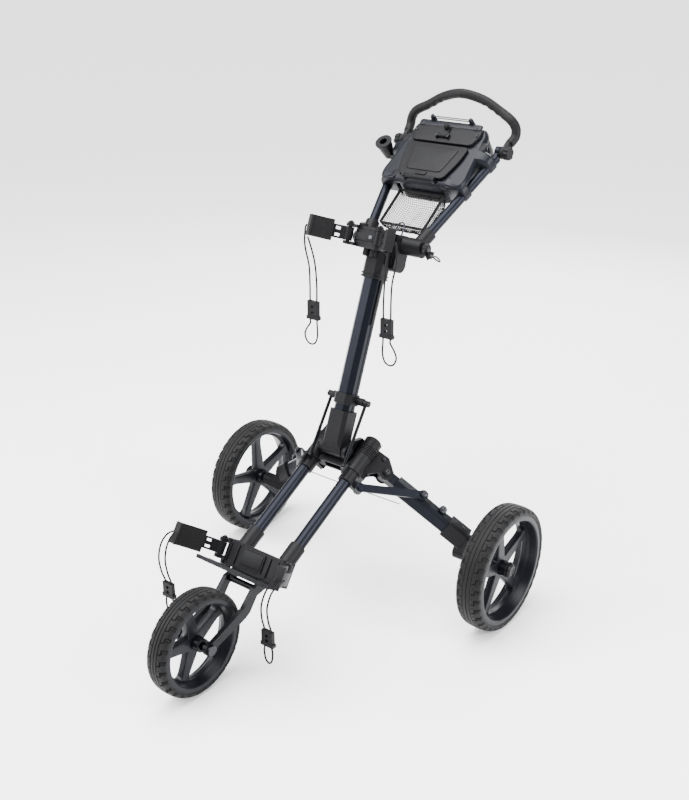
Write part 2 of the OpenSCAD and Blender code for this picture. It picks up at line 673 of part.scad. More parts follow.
// ---- front fork ---------------------------------------------------------
module fork() {
  color([0.14, 0.14, 0.16]) home() difference() {
    union() {
      for (s = [-1, 1]) side(s) yz(fork_in, fork_out) union() {
        translate([fork_y, fork_z]) circle(r = 12);
        translate([-wheelbase, front_r]) circle(r = 13);
        polygon([[fork_y + 1, fork_z + 12], [fork_y - 50, fork_z + 3], [fork_y - 84, fork_z - 30],
                 [-wheelbase, front_r + 10], [-wheelbase, front_r - 10],
                 [fork_y - 78, fork_z - 54], [fork_y - 64, fork_z - 46],
                 [fork_y - 42, fork_z - 18], [fork_y - 2, fork_z - 12]]);
      }
      at_fork() xcyl(10, -fork_in - 1, fork_in + 1);
      translate([0, fork_y - 40, fork_z - 6]) xcyl(7, -fork_in - 1, fork_in + 1);
    }
    at_fork() xcyl(hinge_pin_r + run_fit, -60, 60);
    translate([0, -wheelbase, front_r]) xcyl(axle_r + seat_fit, -60, 60);
  }
}
module front_axle() {
  color([0.5, 0.5, 0.52]) home() {
    translate([0, -wheelbase, front_r]) {
      xcyl(axle_r, -fork_out, fork_out);
      for (s = [-1, 1]) side(s) {
        xcyl(11, fork_out + seat_fit, fork_out + 6);
        xcyl(9.5, 30 + side_gap, fork_in - seat_fit);
      }
    }
  }
}

// ---- handle frame -------------------------------------------------------
module frame_tube(s) {
  tip = [68 + grip_at * tan(frame_splay), grip_at, 0];
  color([0.16, 0.17, 0.21]) home() side(s) at_frame() difference() {
    union() {
      at_tube() difference() {
        ycyl(frame_r, 24, grip_at / cos(frame_splay) - 18);
        ycyl(frame_r - 1.6, 20, grip_at / cos(frame_splay) - 28);
      }
      // inner half of the grip hinge
      translate([0, tip[1], 0]) xcyl(14, tip[0] - 11, tip[0] - side_gap);
      box([tip[0] - 11, grip_at - 26, -9], [tip[0] - side_gap, grip_at, 9]);
    }
    translate([0, tip[1], 0]) xcyl(pin_r + seat_fit, 60, 220);
  }
}
module frame_tube_l() { frame_tube(1); }
module frame_tube_r() { frame_tube(-1); }
module frame_end(s) {
  color([0.10, 0.10, 0.12]) home() side(s) at_frame() difference() {
    union() {
      xcyl(knuckle_r - 1, 36 + side_gap, 85);
      at_tube() ycyl(frame_r + 5, 0, 46);
      at_tube() translate([0, 0, -9]) ycyl(9, 2, 40);
    }
    xcyl(hinge_pin_r + 1 + run_fit, 20, 100);
    at_tube() ycyl(frame_r + seat_fit, 24 - seat_fit, 60);
    box([0, -60, -60], [36 + side_gap, 80, 60]);
  }
}
module frame_end_l() { frame_end(1); }
module frame_end_r() { frame_end(-1); }

module console_outline(g) {
  polygon([[-62 - g, 150 - g], [62 + g, 150 - g], [84 + g, 215], [96 + g, 300],
           [88 + g, 322 + g], [-88 - g, 322 + g], [-96 - g, 300], [-84 - g, 215]]);
}
// centre of the left handle tube at a distance along the frame
function tube_x(y) = 68 + y * tan(frame_splay);
module wing_line() {
  o = frame_r + wing_wall;
  polygon([[60, 152], [tube_x(150) + o - 6, 150], [tube_x(158) + o, 158], [tube_x(254) + o, 254],
           [tube_x(262) + o - 8, 262], [60, 290]]);
}
module console_tray() {
  color([0.20, 0.21, 0.25]) home() at_frame() difference() {
    union() {
      translate([0, 0, con_z0]) linear_extrude(con_z1 - con_z0) console_outline(0);
      // side wings that close round the tubes
      for (s = [-1, 1]) side(s) {
        box([60, 176, -8], [104, 300, 24]);
        translate([0, 0, -frame_r - wing_wall]) linear_extrude(2 * (frame_r + wing_wall)) wing_line();
      }
      // raised back ledge and the two horns
      translate([0, 0, con_z1 - 1]) linear_extrude(7)
        polygon([[-80, 262], [80, 262], [88, 300], [78, 322], [-78, 322], [-88, 300]]);
      for (s = [-1, 1]) translate([s * 51, 326, con_z1 - 14]) zcyl(7, 0, 34);
      translate([0, 326, con_z1 + 16]) xcyl(1.6, -51, 51);
      // ears of the lid hinge
      for (s = [-1, 1]) side(s) translate([0, 156, con_z1 + 5]) {
        xcyl(5, 36.5, 43);
        box([36.5, -5, -6], [43, 5, 0]);
      }
      // ears of the card clip
      for (s = [-1, 1]) side(s) box([12.5, 272, con_z1 + 4], [17, 284, con_z1 + 14]);
    }
    translate([0, 278, con_z1 + 10 + side_gap]) xcyl(2 + run_fit, -30, 30);
    // opening between each wing and its tube, and room for the umbrella cup's arm
    for (s = [-1, 1]) side(s) translate([0, 0, -40]) linear_extrude(100)
      polygon([[76, 180], [93, 184], [102, 232], [88, 236]]);
    side(-1) box([tube_x(231), 231, -40], [200, 263, 60]);
    // bin under the lid
    box([-58, 164, con_z0 + 3], [58, 240, con_z1 + 20]);
    // channels for the tubes
    for (s = [-1, 1]) side(s) at_tube() ycyl(frame_r + seat_fit, 100, 400);
    // cup ring hole in each wing
    for (s = [-1, 1]) side(s) translate([86, 284, 0]) zcyl(12, con_z0 + 14, con_z1 + 30);
    for (s = [-1, 1]) side(s) translate([0, 156, con_z1 + 5]) xcyl(2 + run_fit, 30, 60);
  }
}
module console_lid() {
  color([0.14, 0.14, 0.16]) home() at_frame() {
    difference() {
      union() {
        translate([0, 0, con_z1 + side_gap]) linear_extrude(5)
          polygon([[-60, 161], [60, 161], [76, 215], [80, 258], [-80, 258], [-76, 215]]);
        translate([0, 0, con_z1 + 5]) linear_extrude(4)
          polygon([[-46, 176], [46, 176], [62, 246], [-62, 246]]);
        translate([0, 156, con_z1 + 5]) xcyl(4.2, -35.5, 35.5);
        box([-30, 156, con_z1 + 1.2], [30, 166, con_z1 + 5]);
      }
    }
    translate([0, 156, con_z1 + 5]) xcyl(2, -42, 42);
  }
}
module score_clip() {
  color([0.08, 0.08, 0.09]) home() at_frame() translate([0, 272, con_z1 + 6 + side_gap]) {
    box([-9, 4, 1], [9, 32, 4]);
    translate([0, 6, 4]) xcyl(3.8, -12, 12);
    translate([0, 6, 4]) xcyl(2, -16.5, 16.5);
    translate([0, 30, 8]) sphere(r = 7);
  }
}
// cup that an umbrella's shaft stands in, on the right-hand tube
module umbrella_cup() {
  color([0.09, 0.09, 0.10]) home() side(-1) at_frame() translate([150, 246, 0]) difference() {
    union() {
      translate([0, 0, -6]) cylinder(r1 = 12, r2 = 19, h = 46);
      box([-30, -9, -5], [0, 9, 5]);
    }
    zcyl(9, -2, 60);
    translate([-150, -246, 0]) at_tube() ycyl(frame_r + seat_fit, 100, 400);
  }
}
module net_bag() {
  color([0.12, 0.12, 0.13]) home() at_frame() difference() {
    yz(-62, 62) polygon([[46, 4], [148, 4], [148, -38], [124, -47], [70, -43], [50, -24]]);
    for (s = [-1, 1]) side(s) at_tube() ycyl(frame_r + 2, 0, 400);
    xcyl(26, -90, 90);
  }
}
// grip loop: points in the frame's axes
handle_pts = [[138, grip_at + 28, 0], [142, grip_at + 48, 2], [140, grip_at + 62, 14],
  [127, grip_at + 72, 27], [97, grip_at + 85, 36], [52, grip_at + 97, 55],
  [0, grip_at + 98, 68]];
module handle_bar() {
  tip_x = 68 + grip_at * tan(frame_splay);
  left = handle_pts;
  right = [for (i = [len(left) - 2 : -1 : 0]) [-left[i][0], left[i][1], left[i][2]]];
  color([0.07, 0.07, 0.08]) home() at_frame() difference() {
    union() {
      tube_along(concat(left, right), grip_r, 3, 20, [0, -0.55, 0.83]);
      for (s = [-1, 1]) side(s) {
        translate([0, grip_at, 0]) xcyl(14, tip_x + side_gap, tip_x + 11);
        box([tip_x + side_gap, grip_at, -9], [tip_x + 11, grip_at + 30, 9]);
      }
    }
    translate([0, grip_at, 0]) xcyl(pin_r + seat_fit, -220, 220);
  }
}
module handle_knob(s) {
  tip_x = 68 + grip_at * tan(frame_splay);
  color([0.09, 0.09, 0.10]) home() side(s) at_frame() translate([0, grip_at, 0]) {
    xcyl(pin_r - 0.05, tip_x - 9, tip_x + 13);
    difference() {
      xcyl(15, tip_x + 11 + side_gap, tip_x + 23);
      for (i = [0 : 5]) rotate([60 * i, 0, 0]) translate([0, 17, 0])
        xcyl(4, tip_x + 10, tip_x + 30);
    }
  }
}
module handle_knob_l() { handle_knob(1); }
module handle_knob_r() { handle_knob(-1); }

// ---- drawing ------------------------------------------------------------
chassis_block();
boom_tube_l();
boom_tube_r();
gusset_l();
gusset_r();
mast_pin();
lower_bracket();
foot_plate();
tie_wire();
collar_l();
collar_r();
mast_tube();
mast_socket();
link_clamp();
top_bracket();
link_rod_l();
link_rod_r();
upper_arm_l();
upper_arm_r();
upper_pad_l();
upper_pad_r();
upper_cord_l();
upper_cord_r();
upper_toggle_l();
upper_toggle_r();
lower_arm_l();
lower_arm_r();
lower_pad_l();
lower_pad_r();
lower_cord_l();
lower_cord_r();
lower_toggle_l();
lower_toggle_r();
rear_beam_l();
rear_beam_r();
wheel_bracket_l();
wheel_bracket_r();
strut_l();
strut_r();
rear_tyre_l();
rear_tyre_r();
rear_rim_l();
rear_rim_r();
front_tyre();
front_rim();
fork();
front_axle();
frame_tube_l();
frame_tube_r();
frame_end_l();
frame_end_r();
console_tray();
console_lid();
score_clip();
net_bag();
umbrella_cup();
handle_bar();
handle_knob_l();
handle_knob_r();
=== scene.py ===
import math

import bmesh
import bpy
import numpy as np
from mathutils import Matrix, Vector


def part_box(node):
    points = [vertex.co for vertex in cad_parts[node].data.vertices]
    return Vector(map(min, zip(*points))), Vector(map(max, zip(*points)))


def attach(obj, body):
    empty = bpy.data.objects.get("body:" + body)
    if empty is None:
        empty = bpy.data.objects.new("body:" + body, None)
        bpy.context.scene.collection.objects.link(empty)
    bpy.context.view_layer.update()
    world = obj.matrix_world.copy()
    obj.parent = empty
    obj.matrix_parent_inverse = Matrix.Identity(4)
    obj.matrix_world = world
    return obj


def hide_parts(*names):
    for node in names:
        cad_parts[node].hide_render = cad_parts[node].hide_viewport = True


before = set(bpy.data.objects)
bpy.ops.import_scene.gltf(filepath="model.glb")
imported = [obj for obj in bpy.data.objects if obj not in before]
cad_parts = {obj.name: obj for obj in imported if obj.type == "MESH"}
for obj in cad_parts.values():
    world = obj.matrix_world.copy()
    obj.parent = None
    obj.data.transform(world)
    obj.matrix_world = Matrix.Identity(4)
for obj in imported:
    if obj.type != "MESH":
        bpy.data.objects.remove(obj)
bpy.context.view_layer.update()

# ---- room ----
# A pale seamless floor and a white sky, one very wide sun that lights like a tent, one big
# overhead soft box and three smaller ones round the cart. The camera stands ahead of the cart
# on its left, a little above the handle.
scene = bpy.context.scene
MM = 0.001
# shapes are written in millimetres from a point on the floor under the rear axle; HOME is
# where that point lies in the frame, found from the front axle, one wheelbase ahead of it
WHEELBASE = 582.0
axle_low, axle_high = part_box("front_axle")
HOME = np.array([0.0, (axle_low[1] + axle_high[1]) / 2 / MM + WHEELBASE, 0.0])
SIDES = (("l", 1), ("r", -1))
CAMERA_PITCH, CAMERA_TURN, CAMERA_ANGLE = 23.1877, 38.1131, 40.295
eye = bpy.data.cameras.new("camera")
eye.angle = math.radians(CAMERA_ANGLE)
camera = bpy.data.objects.new("camera", eye)
camera.location = (1.3616, -1.8305 + HOME[1] * MM, 1.4227)
camera.rotation_euler = (math.radians(90 - CAMERA_PITCH), 0, math.radians(CAMERA_TURN))
scene.collection.objects.link(camera)
scene.camera = camera


def fill(node, **values):
    """Sets a node's properties, or else its inputs, by name."""
    for key, value in values.items():
        if hasattr(node, key):
            setattr(node, key, value)
        else:
            node.inputs[key.replace("_", " ")].default_value = value
    return node


def node_adder(tree):
    """A function that adds a node of a kind to the tree and fills it."""
    return lambda kind, **values: fill(tree.nodes.new(kind), **values)


def material(name):
    """An empty node material and its Principled shader."""
    made = bpy.data.materials.new(name)
    made.use_nodes = True
    return made, made.node_tree.nodes["Principled BSDF"]


FLOOR_REACH, FLOOR_TOP = 30, -0.0004
floor_mesh = bpy.data.meshes.new("floor")
floor_mesh.from_pydata([(x * FLOOR_REACH, y * FLOOR_REACH, FLOOR_TOP)
                        for x, y in ((-1, -1), (1, -1), (1, 1), (-1, 1))], [], [(0, 1, 2, 3)])
floor = bpy.data.objects.new("floor", floor_mesh)
scene.collection.objects.link(floor)
paper, paper_shader = material("floor_paper")
fill(paper_shader, Base_Color=(0.87, 0.87, 0.88, 1), Roughness=0.9)
floor.data.materials.append(paper)

world = bpy.data.worlds.new("studio")
world.use_nodes = True
fill(world.node_tree.nodes["Background"], Color=(1, 1, 1, 1), Strength=0.55)
scene.world = world


def soft_box(name, place, aim, width, height, power):
    """A rectangular area light at place, turned to face aim."""
    lamp = bpy.data.lights.new(name, "AREA")
    lamp.shape, lamp.size, lamp.size_y, lamp.energy = "RECTANGLE", width, height, power
    holder = bpy.data.objects.new(name, lamp)
    holder.location = place
    way = np.subtract(aim, place)
    flat = math.hypot(way[0], way[1])
    holder.rotation_euler = (math.atan2(flat, -way[2]), 0, math.atan2(-way[0], way[1]))
    scene.collection.objects.link(holder)


sun = bpy.data.objects.new("skylight", bpy.data.lights.new("skylight", "SUN"))
sun.data.energy, sun.data.angle = 7.5, math.radians(60)
sun.rotation_euler = (math.radians(12), math.radians(-10), 0)
scene.collection.objects.link(sun)
soft_box("overhead", (-0.2, -0.4, 2.9), (0, -0.2, 0.3), 2.4, 2.4, 150)
soft_box("front_left", (-2.4, -2.0, 1.9), (0, -0.1, 0.5), 1.4, 2.0, 190)
soft_box("right_side", (2.8, 0.4, 1.5), (0.1, -0.1, 0.45), 1.2, 2.0, 170)
soft_box("behind", (-0.8, 2.8, 1.8), (0, 0.1, 0.6), 2.0, 1.4, 90)

# ---- elastic cords and brake wire ----
# Four loops of 4 mm shock cord with a woven sleeve hold a bag against the cradles, and one
# thin bare steel wire ties the two rear arms. They are the first things laid out.


def spline(points, steps):
    """Catmull-Rom curve: each span is the cubic that leaves and reaches its ends along the
    chord between their neighbours, sampled at equal parameter steps."""
    p = np.asarray(points, float)
    before, after = np.vstack([p[:1], p[:-2]]), np.vstack([p[2:], p[-1:]])
    a, b = p[:-1], p[1:]
    t = (np.arange(steps) / steps)[None, :, None]
    q0, q1, q2, q3 = (x[:, None, :] for x in (before, a, b, after))
    curve = 0.5 * (2 * q1 + (q2 - q0) * t + (2 * q0 - 5 * q1 + 4 * q2 - q3) * t ** 2
                   + (3 * q1 - q0 - 3 * q2 + q3) * t ** 3)
    return np.vstack([curve.reshape(-1, p.shape[1]), p[-1:]])


def cos(angle):
    """Cosine of an angle in degrees."""
    return math.cos(math.radians(angle))


def sin(angle):
    """Sine of an angle in degrees."""
    return math.sin(math.radians(angle))


def unit(v):
    """Vectors divided by their lengths."""
    return v / np.linalg.norm(v, axis=-1, keepdims=True)


def sweep(path, section, up):
    """A section carried along a path. Each ring is path point + x * side + y * lift, where side
    is up crossed with the heading and lift is the heading crossed with side. The section is one
    loop (m, 2) or one loop for each path point (n, m, 2)."""
    ahead = unit(np.gradient(path, axis=0))
    side = unit(np.cross(np.broadcast_to(up, path.shape), ahead))
    lift = np.cross(ahead, side)
    s = np.broadcast_to(section, (len(path),) + np.asarray(section).shape[-2:])
    return path[:, None, :] + s[..., :1] * side[:, None, :] + s[..., 1:] * lift[:, None, :]


def ring(radius, count):
    """Points of a circle as one loop."""
    a = np.linspace(0, 2 * np.pi, count, endpoint=False)
    return np.stack([radius * np.cos(a), radius * np.sin(a)], -1)


def skin(grid, loop_rows=False, loop_columns=True):
    """Quads over a grid (rows, columns, 3) of points. Each row closes on itself unless
    loop_columns is off; then an open run of rows is capped at its ends. UV runs 0..1 round and
    in millimetres along."""
    n, m = grid.shape[:2]
    g = np.concatenate([grid, grid[:, :1]], 1) if loop_columns else grid
    g = np.concatenate([g, g[:1]], 0) if loop_rows else g
    rows, columns = g.shape[:2]
    i, j = np.meshgrid(np.arange(rows - 1), np.arange(columns - 1), indexing="ij")
    a = i * columns + j
    quads = np.stack([a, a + 1, a + columns + 1, a + columns], -1).reshape(-1, 4).tolist()
    if loop_columns and not loop_rows:
        quads += [list(range(m))[::-1], [(rows - 1) * columns + k for k in range(m)]]
    run = np.concatenate([[0], np.cumsum(np.linalg.norm(np.diff(g[:, 0], axis=0), axis=-1))])
    uv = np.stack(np.broadcast_arrays(np.linspace(0, 1, columns)[None, :], run[:, None]), -1)
    return g.reshape(-1, 3), quads, uv.reshape(-1, 2)


def new_piece(name, shells, body, finish, stands_for=None, side=1, crease=34):
    """One object out of closed shells given in millimetres in the cart's own frame. Doubles are
    merged, faces turned outwards, and edges steeper than crease degrees stay sharp."""
    count = np.cumsum([0] + [len(s[0]) for s in shells])
    faces = [[v + c for v in f] for s, c in zip(shells, count) for f in s[1]]
    places = (np.concatenate([s[0] for s in shells]) * (side, 1, 1) + HOME) * MM
    mesh = bpy.data.meshes.new(name)
    mesh.from_pydata(places.tolist(), [], faces)
    uv = np.concatenate([s[2] for s in shells])
    corner = np.empty(len(mesh.loops), int)
    mesh.loops.foreach_get("vertex_index", corner)
    mesh.uv_layers.new(name="UVMap").data.foreach_set("uv", uv[corner].astype(np.float32).ravel())
    work = bmesh.new()
    work.from_mesh(mesh)
    bmesh.ops.remove_doubles(work, verts=work.verts, dist=4e-6)
    bmesh.ops.recalc_face_normals(work, faces=work.faces)
    work.to_mesh(mesh)
    work.free()
    mesh.polygons.foreach_set("use_smooth", np.ones(len(mesh.polygons), bool))
    mesh.set_sharp_from_angle(angle=math.radians(crease))
    mesh.materials.append(finish)
    piece = bpy.data.objects.new(name, mesh)
    scene.collection.objects.link(piece)
    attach(piece, body)
    if stands_for:
        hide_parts(stands_for)
    return piece


def effect(name, inputs, outputs):
    """An empty shader group with named number inputs and outputs: the group, its input and
    output nodes, and the functions that add and link nodes."""
    group = bpy.data.node_groups.new(name, "ShaderNodeTree")
    for label, value in inputs.items():
        socket = group.interface.new_socket(label, in_out="INPUT", socket_type="NodeSocketFloat")
        socket.default_value = value
    for label in outputs:
        group.interface.new_socket(label, in_out="OUTPUT", socket_type="NodeSocketFloat")
    start, end = group.nodes.new("NodeGroupInput"), group.nodes.new("NodeGroupOutput")
    return group, start, end, node_adder(group), group.links.new


# fine grain of a moulded or blasted surface: two noises of different size, 0 to 1
grain, g_in, g_out, g_add, g_link = effect("surface_grain", {"Scale": 900.0}, ["Height"])
g_place = g_add("ShaderNodeTexCoord")
g_fine = g_add("ShaderNodeTexNoise", Detail=2.0)
g_cell = g_add("ShaderNodeTexVoronoi")
g_mix = g_add("ShaderNodeMath", operation="MULTIPLY_ADD")
g_mix.inputs[1].default_value = 0.6
g_link(g_place.outputs["Object"], g_fine.inputs["Vector"])
g_link(g_place.outputs["Object"], g_cell.inputs["Vector"])
g_link(g_in.outputs["Scale"], g_fine.inputs["Scale"])
g_link(g_in.outputs["Scale"], g_cell.inputs["Scale"])
g_link(g_fine.outputs["Fac"], g_mix.inputs[0])
g_link(g_cell.outputs["Distance"], g_mix.inputs[2])
g_link(g_mix.outputs[0], g_out.inputs["Height"])

# slow change of tone and gloss over a piece, and sparse rubbed streaks
uneven, u_in, u_out, u_add, u_link = effect("uneven_sheen", {"Scale": 14.0, "Rub": 0.5}, ["Tone", "Streak"])
u_place = u_add("ShaderNodeTexCoord")
u_slow = u_add("ShaderNodeTexNoise", Detail=4.0, Roughness=0.6)
u_long = u_add("ShaderNodeMapping", Scale=(60, 60, 700))
u_streak = u_add("ShaderNodeTexNoise", Scale=1.0, Detail=3.0)
u_cut = u_add("ShaderNodeMapRange", interpolation_type="SMOOTHSTEP", From_Min=0.62, From_Max=0.78)
u_rub = u_add("ShaderNodeMath", operation="MULTIPLY")
u_link(u_place.outputs["Object"], u_slow.inputs["Vector"])
u_link(u_in.outputs["Scale"], u_slow.inputs["Scale"])
u_link(u_place.outputs["Object"], u_long.inputs["Vector"])
u_link(u_long.outputs["Vector"], u_streak.inputs["Vector"])
u_link(u_streak.outputs["Fac"], u_cut.inputs["Value"])
u_link(u_cut.outputs["Result"], u_rub.inputs[0])
u_link(u_in.outputs["Rub"], u_rub.inputs[1])
u_link(u_slow.outputs["Fac"], u_out.inputs["Tone"])
u_link(u_rub.outputs[0], u_out.inputs["Streak"])


def surface(name, dark, light, rough, spread=0.12, metal=0.0, scale=900.0, depth=0.00006,
            patch=14.0, rub=0.4, coat=0.0, sheen=0.0, height=None):
    """A finish whose colour runs from dark to light and whose roughness moves by spread with the
    slow tone, with rubbed streaks a little lighter, over a fine grain of the given depth."""
    made, shader = material(name)
    add, link = node_adder(made.node_tree), made.node_tree.links.new
    tone = add("ShaderNodeGroup", node_tree=uneven, Scale=patch, Rub=rub)
    colour = add("ShaderNodeMix", data_type="RGBA", A=(*dark, 1), B=(*light, 1))
    together = add("ShaderNodeMath", operation="ADD", use_clamp=True)
    link(tone.outputs["Tone"], together.inputs[0])
    link(tone.outputs["Streak"], together.inputs[1])
    link(together.outputs[0], colour.inputs["Factor"])
    link(colour.outputs["Result"], shader.inputs["Base Color"])
    gloss = add("ShaderNodeMapRange", To_Min=rough - spread, To_Max=rough + spread)
    link(tone.outputs["Tone"], gloss.inputs["Value"])
    link(gloss.outputs["Result"], shader.inputs["Roughness"])
    fill(shader, Metallic=metal, Specular_IOR_Level=0.09, Coat_Weight=coat, Coat_Roughness=0.25,
         Sheen_Weight=sheen)
    bump = add("ShaderNodeBump", Distance=depth)
    if height is None:
        fine = add("ShaderNodeGroup", node_tree=grain, Scale=scale)
        link(fine.outputs["Height"], bump.inputs["Height"])
    else:
        link(height(add, link), bump.inputs["Height"])
    link(bump.outputs["Normal"], shader.inputs["Normal"])
    return made


def braid(around, pitch):
    """Height of a woven sleeve: two sets of strands cross at an angle, sin(u + v) and sin(u - v),
    with u round the cord and v along it in millimetres."""
    def build(add, link):
        place = add("ShaderNodeUVMap")
        parts = add("ShaderNodeSeparateXYZ")
        link(place.outputs["UV"], parts.inputs[0])
        waves = []
        for turn in (1, -1):
            u = add("ShaderNodeMath", operation="MULTIPLY")
            u.inputs[1].default_value = around * 2 * math.pi
            v = add("ShaderNodeMath", operation="MULTIPLY_ADD")
            v.inputs[1].default_value = turn * 2 * math.pi / pitch
            s = add("ShaderNodeMath", operation="SINE")
            link(parts.outputs["X"], u.inputs[0])
            link(parts.outputs["Y"], v.inputs[0])
            link(u.outputs[0], v.inputs[2])
            link(v.outputs[0], s.inputs[0])
            waves.append(s)
        most = add("ShaderNodeMath", operation="MAXIMUM")
        link(waves[0].outputs[0], most.inputs[0])
        link(waves[1].outputs[0], most.inputs[1])
        return most.outputs[0]
    return build


cord_cloth = surface("cord_weave", (0.0025, 0.0025, 0.0029), (0.0076, 0.0076, 0.0084), 0.70, 0.08,
                     depth=0.0003, sheen=0.03, height=braid(6, 2.4))
bright_wire = surface("wire_steel", (0.06, 0.06, 0.065), (0.14, 0.14, 0.15), 0.32, 0.08, metal=1.0,
                      depth=0.00012, height=braid(3, 2.0))
UPPER_CORD = [(117, -77, 850), (120.5, -78, 838), (121, -79, 804), (111, -78, 761), (109, -78, 722),
              (109, -78, 682), (109, -78, 640), (109, -78, 630), (120, -78, 614), (125, -78, 600),
              (119, -78, 585), (107, -78, 580), (95, -78, 586), (89, -78, 604), (90, -78, 630),
              (90, -78, 640), (90, -78, 682), (90, -78, 722), (93, -79, 765), (99, -83, 800),
              (105, -88.5, 827)]
LOWER_CORD = [(155, -482, 268), (155, -500, 267), (153, -519, 254), (151, -529, 226), (150, -525, 192),
              (149, -517, 165), (149, -517, 130), (151, -517, 114), (148, -517, 95), (140, -517, 88),
              (132, -517, 95), (129, -517, 114), (131, -517, 130), (131, -517, 165), (132, -524, 192),
              (134, -527, 224), (137, -519, 250), (140, -504, 266), (142, -489, 272.5)]
BRAKE_WIRE = [(-134, -66, 251), (-60, -66, 250), (0, -66, 250), (60, -66, 250), (134, -66, 251)]
CORD_R, WIRE_R = 2.0, 1.25


def length_of(path):
    """Sum of the distances between neighbouring points."""
    return float(np.linalg.norm(np.diff(path, axis=0), axis=-1).sum())


def lay_cord(name, route, radius, up, body, finish, node, side):
    """A round cord along its route."""
    path = spline(route, 6)
    piece = new_piece(name, [skin(sweep(path, ring(radius, 16), up))], body, finish, node, side, 60)
    line = (path * (side, 1, 1) + HOME) * MM
    tuple(line[0])


for tag, side in SIDES:
    for level, route, up in (("upper_", UPPER_CORD, (0, 1, 0.05)), ("lower_", LOWER_CORD, (1, 0, 0.05))):
        lay_cord("shock_cord_" + level + tag, route, CORD_R, up, "bag_arm_" + level + tag, cord_cloth,
                 level + "cord_" + tag, side)
lay_cord("brake_wire", BRAKE_WIRE, WIRE_R, (0, 0, 1), "chassis", bright_wire, "tie_wire", 1)

# ---- tyres ----
# Solid moulded rubber, pressed over the rims. Fine grooves run round the crown; each shoulder
# has a row of blocks parted by stepped grooves. The moulds leave a dull, slightly dusty skin.
tyre_rubber = surface("tyre_rubber", (0.0027, 0.0027, 0.0029), (0.0071, 0.0071, 0.0076), 0.58, 0.10,
                      scale=500, depth=0.00012, patch=22, rub=0.25, sheen=0.03)


def soft_step(x, edge):
    """0 below zero, 1 above edge, a smooth cubic between."""
    t = np.clip(x / edge, 0, 1)
    return t * t * (3 - 2 * t)


def off_line(u, v, a, b):
    """Distance from the points (u, v) to the straight piece from a to b."""
    d = np.subtract(b, a)
    t = np.clip(((u - a[0]) * d[0] + (v - a[1]) * d[1]) / (d @ d), 0, 1)
    return np.hypot(u - a[0] - t * d[0], v - a[1] - t * d[1])


def grooved(depth, gap, deep, half, soft):
    """The depth map with a groove added: deep within half of its line, then easing out over soft."""
    return np.maximum(depth, deep * (1 - soft_step(gap - half, soft)))


def tread_depth(run, across, width, pitch):
    """How deep the tread is cut at a distance round the tyre and across it: three grooves round
    the crown, and on each shoulder, half a pitch apart, a stepped groove, a cut and a short
    nick in every pitch."""
    depth = np.zeros(np.broadcast(run, across).shape)
    for line in (-0.155, 0.0, 0.155):
        depth = grooved(depth, np.abs(across - line * width), 1.5, 0.5, 0.8)
    for hand in (1, -1):
        out = across * hand
        for shift in (-1, 0, 1):
            u = (run + (0.5 * pitch if hand < 0 else 0)) % pitch - pitch * (0.5 + shift)
            steps = [(-0.30 * pitch, 0.215 * width), (-0.30 * pitch, 0.33 * width),
                     (0.14 * pitch, 0.33 * width), (0.14 * pitch, 0.56 * width)]
            gap = np.min([off_line(u, out, a, b) for a, b in zip(steps, steps[1:])], axis=0)
            depth = grooved(depth, gap, 2.6, 0.9, 0.9)
            cut = off_line(u, out, (-0.06 * pitch, 0.39 * width), (-0.06 * pitch, 0.56 * width))
            depth = grooved(depth, cut, 1.6, 0.4, 0.8)
            nick = off_line(u, out, (0.30 * pitch, 0.235 * width), (0.30 * pitch, 0.30 * width))
            depth = grooved(depth, nick, 1.2, 0.3, 0.7)
    return depth


def resample(points, count):
    """The same open line with count points at equal distances along it."""
    p = np.asarray(points, float)
    run = np.concatenate([[0], np.cumsum(np.linalg.norm(np.diff(p, axis=0), axis=-1))])
    at = np.linspace(0, run[-1], count)
    return np.stack([np.interp(at, run, p[:, k]) for k in range(p.shape[1])], -1)


def tyre_shell(radius, width, seat, blocks):
    """A closed ring. Its outline is radius and width at points spaced along a smooth line from
    bead to bead, turned round the axle; the tread is pushed in along the outline's normal."""
    half = width / 2
    side_line = [(half - 4.2, seat + 0.4), (half - 1.6, seat + 2.6), (half - 0.2, seat + 6.5),
                 (half, radius - 12), (half - 1.2, radius - 6.5), (0.395 * width, radius - 2.6),
                 (0.24 * width, radius - 0.7), (0, radius)]
    line = spline(np.array(side_line + [(-a, b) for a, b in side_line[-2::-1]]), 12)
    line = resample(line, 86)
    turn = unit(np.gradient(line, axis=0))
    out = np.stack([-turn[:, 1], turn[:, 0]], -1)
    out *= np.sign(out[len(out) // 2, 1])
    steps = blocks * 26
    angle = np.linspace(0, 2 * np.pi, steps, endpoint=False)
    run = angle * radius
    high = np.clip((line[:, 1] - (radius - 13)) / 5, 0, 1)
    cut = tread_depth(run[:, None], line[None, :, 0], width, 2 * np.pi * radius / blocks) * high
    across = line[None, :, 0] - cut * out[None, :, 0]
    rise = line[None, :, 1] - cut * out[None, :, 1]
    inner = np.linspace(line[-1], line[0], 6)[1:-1]
    across = np.concatenate([across, np.broadcast_to(inner[:, 0], (steps, 4))], 1)
    rise = np.concatenate([rise, np.broadcast_to(inner[:, 1], (steps, 4))], 1)
    grid = np.stack([across, rise * np.sin(angle)[:, None], rise * np.cos(angle)[:, None]], -1)
    return skin(grid, loop_rows=True)


def moved(shell, place):
    """A shell shifted by place, in millimetres."""
    return (shell[0] + place, *shell[1:])


def mirrored(shell):
    """A shell's mirror image on the cart's other side."""
    return (shell[0] * (-1, 1, 1), *shell[1:])


